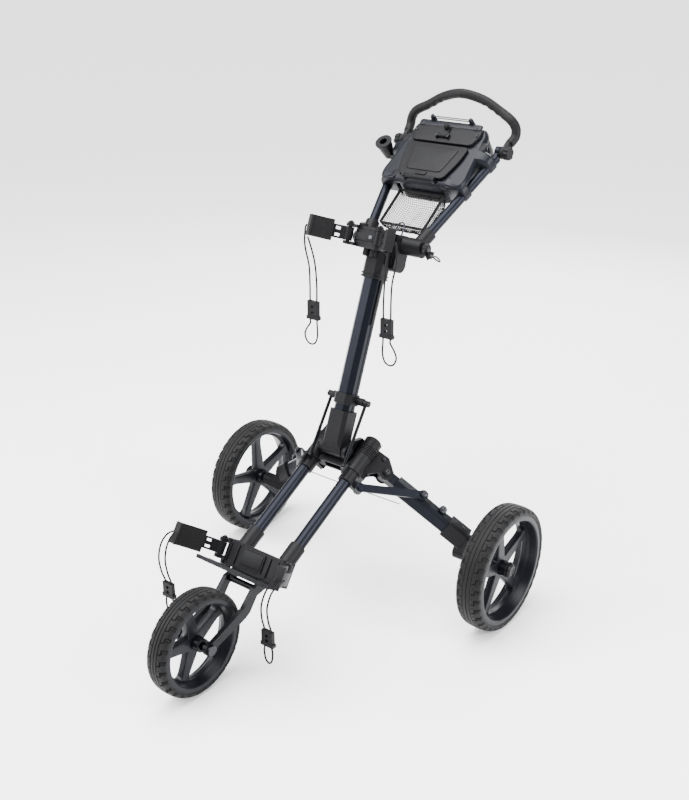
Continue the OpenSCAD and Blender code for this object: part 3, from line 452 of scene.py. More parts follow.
REAR = dict(radius=142.5, width=59.0, seat=122.0, centre=(361.0, 0.0, 142.5))
FRONT = dict(radius=113.0, width=50.0, seat=96.0, centre=(0.0, -WHEELBASE, 113.0))
rear_tread = tyre_shell(REAR["radius"], REAR["width"], REAR["seat"], 36)
front_tread = tyre_shell(FRONT["radius"], FRONT["width"], FRONT["seat"], 29)
for tag, side in SIDES:
    new_piece("tyre_rear_" + tag, [moved(rear_tread, REAR["centre"])], "wheel_" + tag, tyre_rubber,
              "rear_tyre_" + tag, side, 40)
new_piece("tyre_front", [moved(front_tread, FRONT["centre"])], "wheel_front", tyre_rubber,
          "front_tyre", 1, 40)

# ---- rims ----
# One nylon moulding each: a smooth lip, a deep barrel that narrows to five flat blades, and a
# hub. The satin face shows soft highlights; the hub cap is a separate pressed-in plug.
rim_nylon = surface("rim_nylon", (0.0028, 0.0032, 0.0046), (0.0062, 0.0069, 0.0095), 0.34, 0.07, metal=0.2,
                    scale=1400, depth=0.00003, patch=9, rub=0.15, coat=0.08)
cap_plastic = surface("cap_plastic", (0.0021, 0.0021, 0.0025), (0.0050, 0.0050, 0.0059), 0.34, 0.08,
                      scale=1600, depth=0.00003)


def lathe(profile, count=128):
    """A closed profile of (along the axle, radius) turned once round the X axis."""
    p = np.asarray(profile, float)
    a = np.linspace(0, 2 * np.pi, count, endpoint=False)[:, None]
    x = np.broadcast_to(p[None, :, 0], (count, len(p)))
    return skin(np.stack([x, p[None, :, 1] * np.sin(a), p[None, :, 1] * np.cos(a)], -1), loop_rows=True)


def rounded(points, radius, steps=4):
    """A closed outline whose corners are rounded: each corner becomes a short quadratic curve that
    leaves and joins the two sides at radius from the corner, or less where a side is short."""
    p = np.asarray(points, float)
    back, ahead = np.roll(p, 1, 0) - p, np.roll(p, -1, 0) - p
    shorter = np.minimum(np.linalg.norm(back, axis=-1), np.linalg.norm(ahead, axis=-1))
    reach = np.minimum(np.broadcast_to(radius, len(p)), 0.45 * shorter)[:, None]
    a, b = p + unit(back) * reach, p + unit(ahead) * reach
    t = np.linspace(0, 1, steps + 1)[None, :, None]
    curve = (1 - t) ** 2 * a[:, None] + 2 * t * (1 - t) * p[:, None] + t ** 2 * b[:, None]
    return curve.reshape(-1, 2)


def slab(outline, low, high, edge, steps=3):
    """A flat plate: the outline drawn in at its two faces by a quarter-round of radius edge."""
    p = np.asarray(outline, float)
    ahead = unit(np.roll(p, -1, 0) - p) + unit(p - np.roll(p, 1, 0))
    area = np.sum(p[:, 0] * np.roll(p[:, 1], -1) - p[:, 1] * np.roll(p[:, 0], -1))
    inward = unit(np.stack([-ahead[:, 1], ahead[:, 0]], -1)) * np.sign(area)
    turn = np.linspace(0, np.pi / 2, steps + 1)
    draw = edge * np.concatenate([1 - np.sin(turn), (1 - np.sin(turn))[::-1]])
    rise = np.concatenate([low + edge * (1 - np.cos(turn)), high - edge * (1 - np.cos(turn))[::-1]])
    grid = p[None] + inward[None] * draw[:, None, None]
    z = np.broadcast_to(rise[:, None, None], grid.shape[:2] + (1,))
    return skin(np.concatenate([grid, z], -1))


def turned(shell, angle):
    """A shell turned about the X axis by angle degrees."""
    c, s = cos(angle), sin(angle)
    return (shell[0] @ np.array([[1, 0, 0], [0, c, s], [0, -s, c]]), *shell[1:])


def rim_shells(width, seat, hub, first, cap_at):
    """Barrel, five blades, hub plate and hub sleeve, along the X axis."""
    half = width / 2
    barrel = rounded([(half - 3.9, seat - 0.3), (half - 3.6, seat + 3), (half - 1.4, seat + 3),
                      (half - 1.0, seat - 6.5), (half - 3.5, seat - 8.5), (10, seat - 12.5), (4, seat - 15.5),
                      (-7, seat - 15.5), (-12, seat - 9), (4 - half, seat - 6), (1.6 - half, seat - 4),
                      (1.5 - half, seat + 3), (3.7 - half, seat + 3), (4 - half, seat - 0.3)], 1.6, 4)
    shells = [lathe(barrel, 144)]
    t = np.linspace(0, 1, 25)[:, None]
    reach = hub * 0.7 + (seat - 13 - hub * 0.7) * t
    wide = 15.2 - 5.0 * soft_step(t, 0.85) + 6.5 * np.clip((t - 0.86) / 0.14, 0, 1) ** 2
    deep = 17 + 3 * np.clip((t - 0.8) / 0.2, 0, 1)
    corner = ring(1.0, 28)
    square = np.sign(corner) * np.abs(corner) ** 0.22
    y = square[None, :, 1] * wide
    x = -6 + square[None, :, 0] * deep * 0.5
    blade = skin(np.stack([x, y, np.broadcast_to(reach, x.shape)], -1))
    shells += [turned(blade, first + 72 * k) for k in range(5)]
    star = np.array([hub * (1.42 if k % 2 else 1.62) * np.array([sin(first + 36 * k), cos(first + 36 * k)])
                     for k in range(10)])
    plate = slab(rounded(star, 6, 5), -14.5, 2.6, 1.4)
    shells.append((plate[0][:, [2, 0, 1]] * (1, -1, 1), *plate[1:]))
    shells.append(lathe(rounded([(-28, 9), (-28, hub), (cap_at - 4, hub * 0.86), (cap_at - 4, 9)], 1.5), 64))
    return shells


for tag, side in SIDES:
    shells = rim_shells(REAR["width"], REAR["seat"], 19, 4, 24)
    new_piece("rim_rear_" + tag, [moved(s, REAR["centre"]) for s in shells], "wheel_" + tag, rim_nylon,
              "rear_rim_" + tag, side, 30)
    plug = [(12, 1), (12, 16.5), (25.5, 16), (28.5, 12), (29.5, 9), (28.8, 8), (28.8, 1)]
    cap = [lathe(rounded(plug, 1.4), 64),
           lathe(rounded([(19, 16), (19, 18.6), (22, 18.6), (22, 16)], 0.8), 64)]
    new_piece("hub_cap_" + tag, [moved(s, REAR["centre"]) for s in cap], "wheel_" + tag, cap_plastic,
              None, side, 30)
shells = rim_shells(FRONT["width"], FRONT["seat"], 17, 10, 26)
new_piece("rim_front", [moved(s, FRONT["centre"]) for s in shells], "wheel_front", rim_nylon,
          "front_rim", 1, 30)

# ---- axes of the folded-out cart ----
# Each assembly is drawn in its own axes, as it lies on the bench, and then set in place: the
# two front tubes slope down by DROP, the mast leans back by LEAN, the handle frame rises by
# RISE, its two tubes spread by SPLAY and the lower cradle tilts by REST.


def seat(origin, x=0.0, y=0.0, z=0.0):
    """A function that sets a shell in place: turned about X, then Y, then Z, then shifted."""
    (a, b, c), (d, e, f) = np.cos(np.radians([x, y, z])), np.sin(np.radians([x, y, z]))
    about_x = np.array([[1, 0, 0], [0, a, -d], [0, d, a]])
    about_y = np.array([[b, 0, e], [0, 1, 0], [-e, 0, b]])
    about_z = np.array([[c, -f, 0], [f, c, 0], [0, 0, 1]])
    matrix = about_z @ about_y @ about_x
    return lambda shell: (shell[0] @ matrix.T + origin, *shell[1:])


DROP, LEAN, RISE, SPLAY, REST = 28.5, 21.0, 37.5, 12.0, 34.0
BOOM = np.array([0.0, -142.0, 335.0])
HINGE = BOOM + (0, 30 * cos(DROP) - 26 * sin(DROP), 30 * sin(DROP) + 26 * cos(DROP))
KNUCKLE = HINGE + (0, 34 * cos(LEAN) + 468 * sin(LEAN), 468 * cos(LEAN) - 34 * sin(LEAN))
ARM_ROOT, ARM_TIP = np.array([90.0, -65.0, 310.0]), np.array([261.0, 0.0, 179.5])
ARM_LEN = float(np.linalg.norm(ARM_TIP - ARM_ROOT))
arm_way = (ARM_TIP - ARM_ROOT) / ARM_LEN
pin_way = unit(np.cross((0, -cos(DROP), -sin(DROP)), arm_way))
ARM_DROP = math.degrees(math.asin(-arm_way[2]))
ARM_SWEEP = math.degrees(math.atan2(arm_way[1], arm_way[0]))
PIN_LEAN = math.degrees(math.atan2(np.cross(pin_way, arm_way)[2], pin_way[2]))
on_boom, on_mast, on_frame = seat(BOOM, DROP), seat(HINGE, -LEAN), seat(KNUCKLE, RISE)
on_rest = seat((0, -400, 215), -REST)
on_pin = seat(ARM_ROOT, PIN_LEAN, ARM_DROP, ARM_SWEEP)
on_beam = seat(ARM_ROOT, 0, ARM_DROP, ARM_SWEEP)


def facing(axis, shell):
    """A slab whose face looks along X (its outline read as y, z) or along Y (read as x, z)."""
    return (shell[0][:, {"x": [2, 0, 1], "y": [0, 2, 1]}[axis]], *shell[1:])


def pointing(axis, shell):
    """A turned piece, drawn along X, laid along Y or Z instead."""
    return (shell[0][:, {"y": [1, 0, 2], "z": [2, 1, 0]}[axis]], *shell[1:])


def pair(place, shells):
    """The shells set in place on the left-hand side, and their mirror images on the right."""
    left = [place(s) for s in shells]
    return left + [mirrored(s) for s in left]


def spun(points, edge=0.8, count=40):
    """A solid turned about X from (along, radius) points that start and end on the axis."""
    reach = np.full(len(points), float(edge))
    reach[[0, -1]] = 0
    return lathe(rounded(points, reach), count)


def peg(radius, low, high, edge=0.8, count=40):
    """A round bar along X with rounded ends."""
    return spun([(low, 0), (low, radius), (high, radius), (high, 0)], edge, count)


def screw(radius, height):
    """A low domed screw head with a dished socket, standing on x = 0."""
    return spun([(-1, 0), (-1, radius), (height * 0.6, radius), (height, radius * 0.72),
                 (height, radius * 0.5), (height * 0.35, radius * 0.42), (height * 0.35, 0)], 0.35, 24)


def block(low, high, edge=1.2):
    """A box between two corners with rounded upright edges and quarter-round faces."""
    (a, b, c), (d, e, f) = low, high
    return slab(rounded([(a, b), (d, b), (d, e), (a, e)], edge, 4), c, f, edge * 0.7)


def span(a, b, side):
    """The stretch from a to b to one side of the middle, its low end first."""
    return sorted((side * a, side * b))


def oval(x, y, half_x, half_y, step):
    """An oval outline about (x, y) with a point every step degrees."""
    return [(x + half_x * cos(a), y + half_y * sin(a)) for a in range(0, 360, step)]


def knurled(radius, tooth, count):
    """The outline of a knurled knob: every other point stands out by tooth."""
    step = 360 / count
    return [((radius + tooth * (k % 2)) * cos(step * k), (radius + tooth * (k % 2)) * sin(step * k))
            for k in range(count)]


# ---- front tubes, mast and handle tubes: drawn aluminium ----
# Extruded and drawn tube, cut to length, bead blasted and anodised a blue-black. Long faint
# die lines follow each tube, and the edges that hands reach are rubbed a little brighter.
anodised = surface("anodised_tube", (0.0036, 0.0042, 0.0066), (0.0080, 0.0090, 0.0132), 0.33, 0.06,
                   metal=0.55, scale=2200, depth=0.00002, patch=7, rub=0.3)
coated_steel = surface("coated_steel", (0.0020, 0.0022, 0.0029), (0.0050, 0.0053, 0.0068), 0.40, 0.08,
                       metal=0.25, scale=1200, depth=0.00004, patch=11, rub=0.25, coat=0.04)
moulded = surface("moulded_black", (0.0023, 0.0023, 0.0027), (0.0059, 0.0059, 0.0071), 0.46, 0.09,
                  scale=1300, depth=0.00006, patch=16, rub=0.2)
zinc = surface("black_zinc", (0.016, 0.016, 0.019), (0.042, 0.042, 0.048), 0.30, 0.10, metal=1.0,
               scale=1500, depth=0.00003, patch=30)


def keep(node, finish, edge=0.0007):
    """A part whose shape stays: its faces are joined, its edges broken with a small radius in
    metres, and it takes a finish."""
    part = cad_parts[node]
    part.data.materials.clear()
    part.data.materials.append(finish)
    weld = part.modifiers.new("join", "WELD")
    weld.merge_threshold = 0.00001
    flat = part.modifiers.new("flat", "DECIMATE")
    flat.decimate_type, flat.angle_limit = "DISSOLVE", math.radians(1.0)
    bevel = part.modifiers.new("edge", "BEVEL")
    bevel.width, bevel.segments = edge, 2
    bevel.limit_method, bevel.angle_limit = "ANGLE", math.radians(35)
    bevel.use_clamp_overlap = True
    bevel.harden_normals = False
    even = part.modifiers.new("even", "WEIGHTED_NORMAL")
    even.mode, even.weight, even.keep_sharp = "FACE_AREA", 60, True


def both(*names):
    """Each name once for the left-hand side and once for the right."""
    return [name + "_" + tag for name in names for tag, _ in SIDES]


for node in ["mast_tube"] + both("boom_tube", "frame_tube", "rear_beam", "strut"):
    keep(node, anodised)
for node in ["fork", "foot_plate"] + both("link_rod"):
    keep(node, coated_steel)
for node in (["chassis_block", "lower_bracket", "mast_socket", "link_clamp", "top_bracket", "score_clip"]
             + both("gusset", "collar", "wheel_bracket", "frame_end", "handle_knob")):
    keep(node, moulded)
for node in ("mast_pin", "front_axle"):
    keep(node, zinc)

# ---- chassis fittings ----
# The glass-filled nylon chassis has ribs over each barrel's rear end, and black zinc-plated
# bolts with domed socket heads hold it. A knurled nut closes each end of the mast's pin.
rib_lines = [rounded([(a, 17), (a, 22.6), (a + 2.2, 22.6), (a + 2.2, 17)], 0.7)
             for a in (47.0, 52.2, 57.4, 62.6, 67.8)]
rib_lines.append(rounded([(74, 15), (74, 21.4), (86, 20.6), (89, 18), (89, 15)], 1.6))
ribs = [moved(pointing("y", lathe(line, 64)), (57, 0, 0)) for line in rib_lines]
new_piece("chassis_ribs", pair(on_boom, ribs), "chassis", moulded)
nut = facing("x", slab(knurled(8.4, 0.8, 48), 39.9, 45.5, 1.0))
knurl = [moved(nut, (0, 30, 26)), moved(peg(5, 44, 47.2), (0, 30, 26))]
pinned = [moved(pointing("z", screw(6.2, 4)), (0, 0, 19.4))]
pinned += [moved(pointing("z", screw(3.3, 2)), (x, y, 18.4)) for x, y in ((-22, 20), (-30, -34))]
new_piece("chassis_bolts", pair(on_boom, knurl) + pair(on_pin, pinned), "chassis", zinc)

# ---- rear arm fittings ----
# Each rear arm is a rectangular extrusion. A domed three-lobed screw holds the strut, a bolt
# with a washer holds the wire's lug, and two screws clamp the wheel bracket.
lobes = [((6.4 + 1.1 * cos(3 * a)) * cos(a), (6.4 + 1.1 * cos(3 * a)) * sin(a))
         for a in range(0, 360, 10)]
arm_fittings = [on_pin(moved(slab(lobes, 0, 3.0, 1.0), (94, 8, 34.9))),
                on_pin(moved(pointing("z", screw(3.4, 2.4)), (94, 8, 37.6))),
                on_pin(moved(pointing("z", peg(7.6, -1, 1.0, 0.3, 32)), (150, 15, 21))),
                on_pin(moved(pointing("z", screw(5.2, 3.6)), (150, 15, 21.8)))]
arm_fittings += [on_beam(moved(pointing("z", screw(3.2, 2.0)), (ARM_LEN - short, 0, 21.4)))
                 for short in (34, 14)]
clamp_line = [(ARM_LEN - 44, 15), (ARM_LEN + 1, 15), (ARM_LEN + 1, -15), (ARM_LEN - 44, -15)]
seal = spun([(-1, 0), (-1, 15.6), (2.2, 15.2), (3.4, 11), (3.4, 0)], 0.9, 48)
arm_trim = [on_beam(slab(rounded(clamp_line, 4, 4), 20, 22.2, 0.8)),
            on_beam(block((64, -10, 16.5), (122, 10, 17.4), 1.6)), moved(seal, (324.8, 0, 142.5))]
for tag, side in SIDES:
    new_piece("arm_screws_" + tag, arm_fittings, "arm_" + tag, zinc, None, side)
    new_piece("arm_trim_" + tag, arm_trim, "arm_" + tag, moulded, None, side)

# ---- top bracket fittings ----
# Round the head of the mast: a black clamp knob, four clamp bands, a toothed strip for the
# height lock, an arched latch blade with its wire lever, and a webbing tab with a wire ring.
teeth = [(-4.2, 288), (4.2, 288)]
for k in range(26):
    teeth += [(4.2, 292 + 4.2 * k), (2.4, 294.1 + 4.2 * k)]
teeth += [(4.2, 403), (-4.2, 403)]
arch = [(12 * cos(a), 446 + 28 * sin(a)) for a in range(0, 181, 12)] + [(-12, 418), (-8, 418)]
arch += [(8 * cos(180 - a), 446 + 23 * sin(180 - a)) for a in range(0, 181, 12)] + [(8, 418), (12, 418)]
head = [facing("x", slab(teeth, 19.9, 23.2, 0.4)), facing("x", slab(arch, 25.2, 28.2, 0.6))]
head += [moved(block((-6, -6, 0), (6, 6, 5), 2), (17.5, 0, z)) for z in (283, 401)]
mushroom = spun([(0, 0), (0, 4.5), (5, 4.5), (6, 10), (11, 11), (15, 8.5), (17, 0)], 1.8, 48)
head.append(moved(pointing("z", mushroom), (-22, -50, 479.5)))
clamp_ear = slab(rounded([(-7, -9), (7, -9), (7, 9), (-7, 9)], 5, 5), -6, 6, 1.6)
head += [moved(facing("y", clamp_ear), (x, -31, 436)) for x in (-13, 5)]
band = rounded([(25.6, -26.6), (25.6, 26.6), (-25.6, 26.6), (-25.6, -26.6)], 17, 6)
head += [slab(band, z, z + 3.2, 1.0) for z in (384.5, 391, 440, 446.5)]
head.append(block((-26, -68, 456), (26, -65.4, 474), 2.2))
head += [moved(facing("x", slab(ring(19, 64), 0, 3.4, 1.2)), (x, 34, 468)) for x in (35.6, -39)]
new_piece("bracket_head", [on_mast(s) for s in head], "mast", moulded)
lever = np.array([[-9, 30, 489], [-9, 31, 497], [-8.5, 33, 505], [-6, 35, 513], [0, 36, 516],
                  [6, 35, 513], [8.5, 33, 505], [9, 31, 497], [9, 30, 489]], float) + (16, 0, 0)
plate = slab(rounded([(-5, -4), (5, -4), (5, 4), (-5, 4)], 1.4), -69, -67.4, 0.5)
metal_parts = [skin(sweep(spline(lever, 6), ring(2.0, 14), (0, 1, 0.1)))]
metal_parts += [moved(pointing("z", screw(4.2, 3)), (38.9 * s, -73.2, 490.8)) for s in (-1, 1)]
metal_parts += [moved(screw(5.2, 3), (38.6, 34, 468)), moved(facing("y", plate), (15, 0, 466))]
new_piece("bracket_bright", [on_mast(s) for s in metal_parts], "mast", zinc)
webbing_cloth = surface("webbing_weave", (0.0025, 0.0025, 0.0029), (0.0084, 0.0084, 0.0092), 0.74, 0.08,
                        depth=0.0003, sheen=0.03, height=braid(14, 1.8))
tab = np.array([[96.5, 34, 452], [101, 34, 456], [108, 33, 459], [114, 32, 458]], float)
tab_section = rounded([(-1.1, -8), (1.1, -8), (1.1, 8), (-1.1, 8)], 0.9, 3)
d_ring = np.array([[114, 22, 458], [114, 34, 458], [114, 45, 458], [121, 46, 455], [128, 42, 451],
                   [131, 34, 449], [128, 26, 451], [121, 22, 455]], float)
d_loop = spline(np.vstack([d_ring, d_ring[:1]]), 5)[:-1]
new_piece("bracket_tab", [on_mast(skin(sweep(spline(tab, 6), tab_section, (0, 0, 1))))], "mast",
          webbing_cloth)
new_piece("bracket_ring", [on_mast(skin(sweep(d_loop, ring(1.8, 12), (0.4, 0, 0.9)), loop_rows=True))],
          "mast", zinc)
pin_caps = [moved(facing("x", slab(knurled(12.4, 0.9, 72), 88.4, 96.8, 1.2)), (0, 34, 468)),
            moved(peg(6, 96, 98.4), (0, 34, 468))]
new_piece("frame_pin_caps", pair(on_mast, pin_caps), "mast", zinc)

# ---- bag arms and pads ----
# A curved nylon arm turns on each pin and carries a soft rubber pad. The pad's inner face is
# moulded with raised diamonds inside a plain border, and its tip turns outwards as a lip.
pad_rubber = surface("pad_rubber", (0.0029, 0.0029, 0.0034), (0.0076, 0.0076, 0.0080), 0.60, 0.08,
                     scale=700, depth=0.0001, patch=20, rub=0.15, sheen=0.03)


def pad_shell(back, radius, low_angle, high_angle, height):
    """The pad is 3.7 mm thick and bent round the bag. Inside a plain border 2.4 mm wide its inner
    face is pushed in by 0.25 + 0.9 * (1 - min(1, 4.5 * min(s(u + v), s(u - v)))) mm, where s is
    the distance to the nearest whole number and u and v count steps of 6 mm round the bag and
    up it, so that grooves part the diamonds."""
    angle = np.linspace(high_angle, low_angle, 120)
    up = np.linspace(-height / 2, height / 2, 84)
    a, z = np.meshgrid(np.radians(angle), up, indexing="ij")
    run = (a - a.min()) * radius
    u, v = run / 6.0, (z + height / 2) / 6.0
    rising, falling = (np.abs(t - np.round(t)) for t in (u + v, u - v))
    groove = 1 - np.minimum(1, 4.5 * np.minimum(rising, falling))
    edge = np.minimum(np.minimum(run, run.max() - run), height / 2 - np.abs(z))
    inside = soft_step(edge - 2.4, 0.8)
    drawn_in = 0.9 * (1 - soft_step(edge, 0.9))
    near_r = radius + 0.2 + inside * (0.25 + 0.9 * groove) + drawn_in
    far_r = radius + 3.9 - drawn_in
    loop_a, loop_r, loop_z = (np.concatenate([near, far[:, ::-1][:, ::6]], 1)
                              for near, far in ((a, a), (near_r, far_r), (z, z)))
    return skin(np.stack([loop_r * np.cos(loop_a), loop_r * np.sin(loop_a) - back, loop_z], -1))


def pad_tip(back, radius, low_angle, height):
    """The lip across the pad's tip, a plate that stands off the arm along the bag's radius."""
    a = np.radians(np.array([low_angle - 2.2, low_angle - 0.1]))
    corners = [(radius - 3, a[0]), (radius + 15, a[0]), (radius + 15, a[1]), (radius - 3, a[1])]
    outline = rounded([(r * math.cos(t), r * math.sin(t) - back) for r, t in corners], 1.6, 5)
    return slab(outline, -height / 2, height / 2, 1.4)


for tag, side in SIDES:
    upper = pad_shell(193, 118, 32.2, 56, 46), pad_tip(193, 118, 33, 46)
    new_piece("pad_upper_" + tag, [on_mast(moved(s, (0, 0, 465))) for s in upper],
              "bag_arm_upper_" + tag, pad_rubber, "upper_pad_" + tag, side)
    lower = pad_shell(124.5, 138, 10.2, 36.9, 48), pad_tip(124.5, 138, 11, 48)
    new_piece("pad_lower_" + tag, [on_rest(moved(s, (0, 0, -2))) for s in lower],
              "bag_arm_lower_" + tag, pad_rubber, "lower_pad_" + tag, side)
    for level in ("upper_", "lower_"):
        keep(level + "arm_" + tag, moulded)
        keep(level + "toggle_" + tag, moulded, 0.0011)

# ---- lower bracket fittings ----
# The lower cradle's back plate is ribbed and screwed to two sleeves; rubber strips on the foot
# plate keep a bag from slipping. A domed bolt sits on each side of the cradle.
low_parts = [block((x - 1.5, -8.6, -24), (x + 1.5, -5.5, 18), 0.9) for x in (-66, -44, 44, 66)]
low_parts.append(block((-27, -10.4, -17), (27, -8.6, 15), 2))
new_piece("lower_ribs", [on_rest(s) for s in low_parts], "chassis", moulded)
foot_rubber = [block((-92, y, -31.2), (92, y + 4, -29.6), 1.2) for y in (-58, -51, -44)]
new_piece("foot_strips", [on_rest(s) for s in foot_rubber], "chassis", pad_rubber)
side_bolt = moved(screw(6.5, 3.2), (52.8, -400, 186))
bolts = [side_bolt, mirrored(side_bolt)]
bolts += pair(on_rest, [moved(pointing("z", screw(4.2, 3)), (89, -7, 22.8))])
new_piece("lower_bright", bolts, "chassis", zinc)

# ---- console ----
# The console is a satin moulded shell clipped over both handle tubes: a crowned panel, a ledge
# with two horns joined by a pair of wires, and two wings, each with an oval socket in a raised
# rim. Screws hold it.
console_shell = surface("console_grey", (0.0030, 0.0034, 0.0052), (0.0068, 0.0075, 0.0108), 0.36, 0.07,
                        metal=0.1, scale=1500, depth=0.00003, patch=8, rub=0.15, coat=0.04)


def crowned(outline, low, high, crown, rings=14, edge=2.4):
    """A plate whose top swells by crown * (1 - t^2) towards the middle of its outline, t running
    from 0 at the middle to 1 at the edge, with a quarter-round rim of radius edge."""
    p = np.asarray(outline, float)
    middle = (p.max(0) + p.min(0)) / 2
    size = np.abs(p - middle).max()

    def level(share, z):
        """The outline drawn towards its middle, at height z."""
        return np.concatenate([middle + (p - middle) * share, np.full((len(p), 1), z)], 1)

    grid = [level(0.985, low)]
    for turn in np.linspace(0, np.pi / 2, 5):
        grid.append(level(1 - edge / size * (1 - math.cos(turn)), high - edge + edge * math.sin(turn)))
    for t in np.linspace(1, 0.04, rings)[1:]:
        grid.append(level((1 - edge / size) * t, high + crown * (1 - t * t)))
    return skin(np.array(grid))


body_line = rounded([(-62, 150), (62, 150), (84, 215), (96, 300), (88, 322), (-88, 322), (-96, 300),
                     (-84, 215)], [14, 14, 30, 20, 14, 14, 20, 30], 6)
top_line = rounded([(-106, 151), (106, 151), (112, 172), (104, 240), (99, 306), (88, 325), (-88, 325),
                    (-99, 306), (-104, 240), (-112, 172)], [16, 16, 20, 40, 20, 14, 14, 20, 40, 20], 6)
upper_line = rounded([(-79, 263), (79, 263), (90, 300), (80, 320), (-80, 320), (-90, 300)],
                     [12, 12, 16, 14, 14, 16], 6)
ledge_line = rounded([(-82, 306), (82, 306), (84, 324), (-84, 324)], [6, 6, 9, 9], 5)


def wing_shell():
    """The left wing, lofted along the frame. Each section slopes from the panel's edge down round
    the tube. Between y = 168 and 240 an arch draws its outer edge in to x = 88 and bares the
    tube; behind 255 the edge draws in to x = 106 and the underside rises by 8. The sections
    shrink a little towards both ends, which rounds them."""
    y = np.concatenate([[151.2, 152, 153.5], np.linspace(156, 270, 58), [276, 282, 287, 290, 291]])
    tube = 68 + y * math.tan(math.radians(SPLAY))
    arch = soft_step(y - 168, 20) * (1 - soft_step(y - 222, 18))
    back = soft_step(y - 255, 22)
    out = tube + 14 - (tube + 14 - 88) * arch - (tube + 14 - 106) * back
    top = 37 - 3 * arch
    low = -14 + 8 * back
    shrink = np.ones(len(y))
    shrink[:3] = 0.90, 0.95, 0.985
    shrink[-3:] = 0.985, 0.96, 0.92
    sections = []
    for at, x, t, l, small in zip(y, out, top, low, shrink):
        slope = (x - 22 if x > 100 else x - 14, t - 4)
        skirt = (x - 1, -8 if x > 90 else l)
        rim = [(66, l), (66, t), slope, (x - 5, t - 14), (x, 8), skirt, (x - 9, l)]
        line = rounded(rim, [3, 3, 12, 10, 9, 8, 8], 6)
        line = line.mean(0) + (line - line.mean(0)) * small
        sections.append(np.stack([line[:, 0], np.full(len(line), at), line[:, 1]], -1))
    return skin(np.array(sections))


console = [slab(body_line, -29.6, 30, 5.0, 6), slab(top_line, 12.5, 35.2, 9.0, 8),
           slab(ledge_line, 40, 46.0, 2.4, 4)]
wing = wing_shell()
console += [wing, mirrored(wing)]
horn = lathe(rounded([(24, 0.4), (24, 8.2), (36, 7.4), (54, 5.4), (58, 3.6), (58, 0.4)], 1.6), 48)
for s in (-1, 1):
    ear, barrel, stop = span(36.6, 43.0, s), span(36.5, 43.0, s), span(12.6, 17.0, s)
    console += [moved(pointing("z", horn), (51 * s, 326, 0)),
                moved(peg(5.0, *barrel, 0.9), (0, 156, 43)),
                block((ear[0], 151.2, 33), (ear[1], 160.8, 43), 0.8),
                block((stop[0], 272, 40), (stop[1], 284, 52), 1.0),
                slab(oval(101 * s, 272, 9.5, 12.5, 8), 20, 33.5, 1.6)]
new_piece("console_shell", [on_frame(s) for s in console], "frame", console_shell,
          "console_tray")
# painted shade: dark ovals stand over the wing sockets' openings, a dark strip lines the gap between the lid
# and the upper panel, and a dark patch sits under the lid's front; the crowned upper panel is the console's
# real black moulding
dark = [slab(oval(101 * s, 272, 7, 9.8, 8), 22, 34.0, 0.4) for s in (-1, 1)]
painted_gap_shade_line = np.array([(-78, 258.5), (-40, 259.8), (0, 260.4), (40, 259.8), (78, 258.5)], float)
groove = spline(painted_gap_shade_line, 6)
dark.append(slab(np.concatenate([groove + (0, 1.5), groove[::-1] - (0, 0.6)]), 33, 35.3, 0.3))
dark.append(slab(rounded([(-15, 170), (15, 170), (12, 163), (-12, 163)], 3, 4), 33, 35.4, 0.4))
dark.append(crowned(upper_line, 33.0, 43.2, 2.0))
new_piece("console_black_panel_and_painted_shade", [on_frame(s) for s in dark], "frame", moulded)
fixings = [moved(pointing("z", screw(3.6, 2.0)), (x * s, y, z))
           for x, y, z in ((80, 292, 43.8), (70, 310, 45.6), (88, 268, 34.2)) for s in (-1, 1)]
fixings += [moved(peg(1.3, -50, 50, 0.4, 16), (0, 326, z)) for z in (49, 54.5)]
new_piece("console_fixings", [on_frame(s) for s in fixings], "frame", zinc)
# the score clip's edges, broken once with the other moulded parts, take this wider break too
keep("score_clip", moulded, 0.0012)
keep("umbrella_cup", moulded, 0.0012)
cup_ring = [lathe(rounded([(36, 17.5), (36, 20.2), (40, 20.4), (40, 17.5)], 0.9), 64),
            lathe(rounded([(-8, 0.4), (-8, 7), (-14, 5.4), (-15, 0.4)], 1.2), 32)]
cup_trim = [mirrored(on_frame(moved(pointing("z", s), (150, 246, 0)))) for s in cup_ring]
new_piece("umbrella_trim", cup_trim, "frame", moulded)

# ---- console lid ----
# A darker moulded lid over the bin, with a crowned inner panel, a finger tab at its front and
# a round hinge barrel. It shows a soft sheen along its rolled edges.
lid_line = rounded([(-59, 161), (59, 161), (75.5, 215), (79.5, 257.4), (-79.5, 257.4), (-75.5, 215)],
                   [10, 10, 24, 10, 10, 24], 6)
lid_panel = rounded([(-46, 176), (46, 176), (61, 246), (-61, 246)], 10, 6)
lid = [slab(lid_line, 38.5, 43.4, 2.0, 5), crowned(lid_panel, 41.0, 45.4, 1.5, 12, 1.8),
       moved(peg(4.2, -35.5, 35.5, 0.9), (0, 156, 43)), moved(peg(2, -42, 42, 0.3), (0, 156, 43)),
       block((-30, 156, 39.4), (30, 168, 43), 1.4)]
lid.append(slab(rounded([(-13, 163), (13, 163), (16, 173), (-16, 173)], 3, 5), 42, 45.8, 1.2))
new_piece("lid_moulding", [on_frame(s) for s in lid], "lid", moulded, "console_lid")

# ---- net bag ----
# Knitted nylon netting with a square mesh hangs below the console from a sewn tape binding.
# Its sides drop steeply and its bottom sags in a shallow bowl with small folds.
net_cord = surface("net_knit", (0.0021, 0.0021, 0.0025), (0.0067, 0.0067, 0.0076), 0.75, 0.08,
                   depth=0.0002, sheen=0.03, height=braid(8, 1.6))


def hoop(half, deep, power, count):
    """Points at equal distances along |x / half|^power + |z / deep|^power = 1 below z = 0, as
    (x, share of the depth)."""
    a = np.linspace(0, np.pi, 721)
    x = -half * np.sign(np.cos(a)) * np.abs(np.cos(a)) ** (2 / power)
    z = deep * np.abs(np.sin(a)) ** (2 / power)
    run = np.concatenate([[0], np.cumsum(np.hypot(np.diff(x), np.diff(z)))])
    at = np.linspace(0, run[-1], count)
    return np.interp(at, run, x), np.interp(at, run, z) / deep, run[-1]


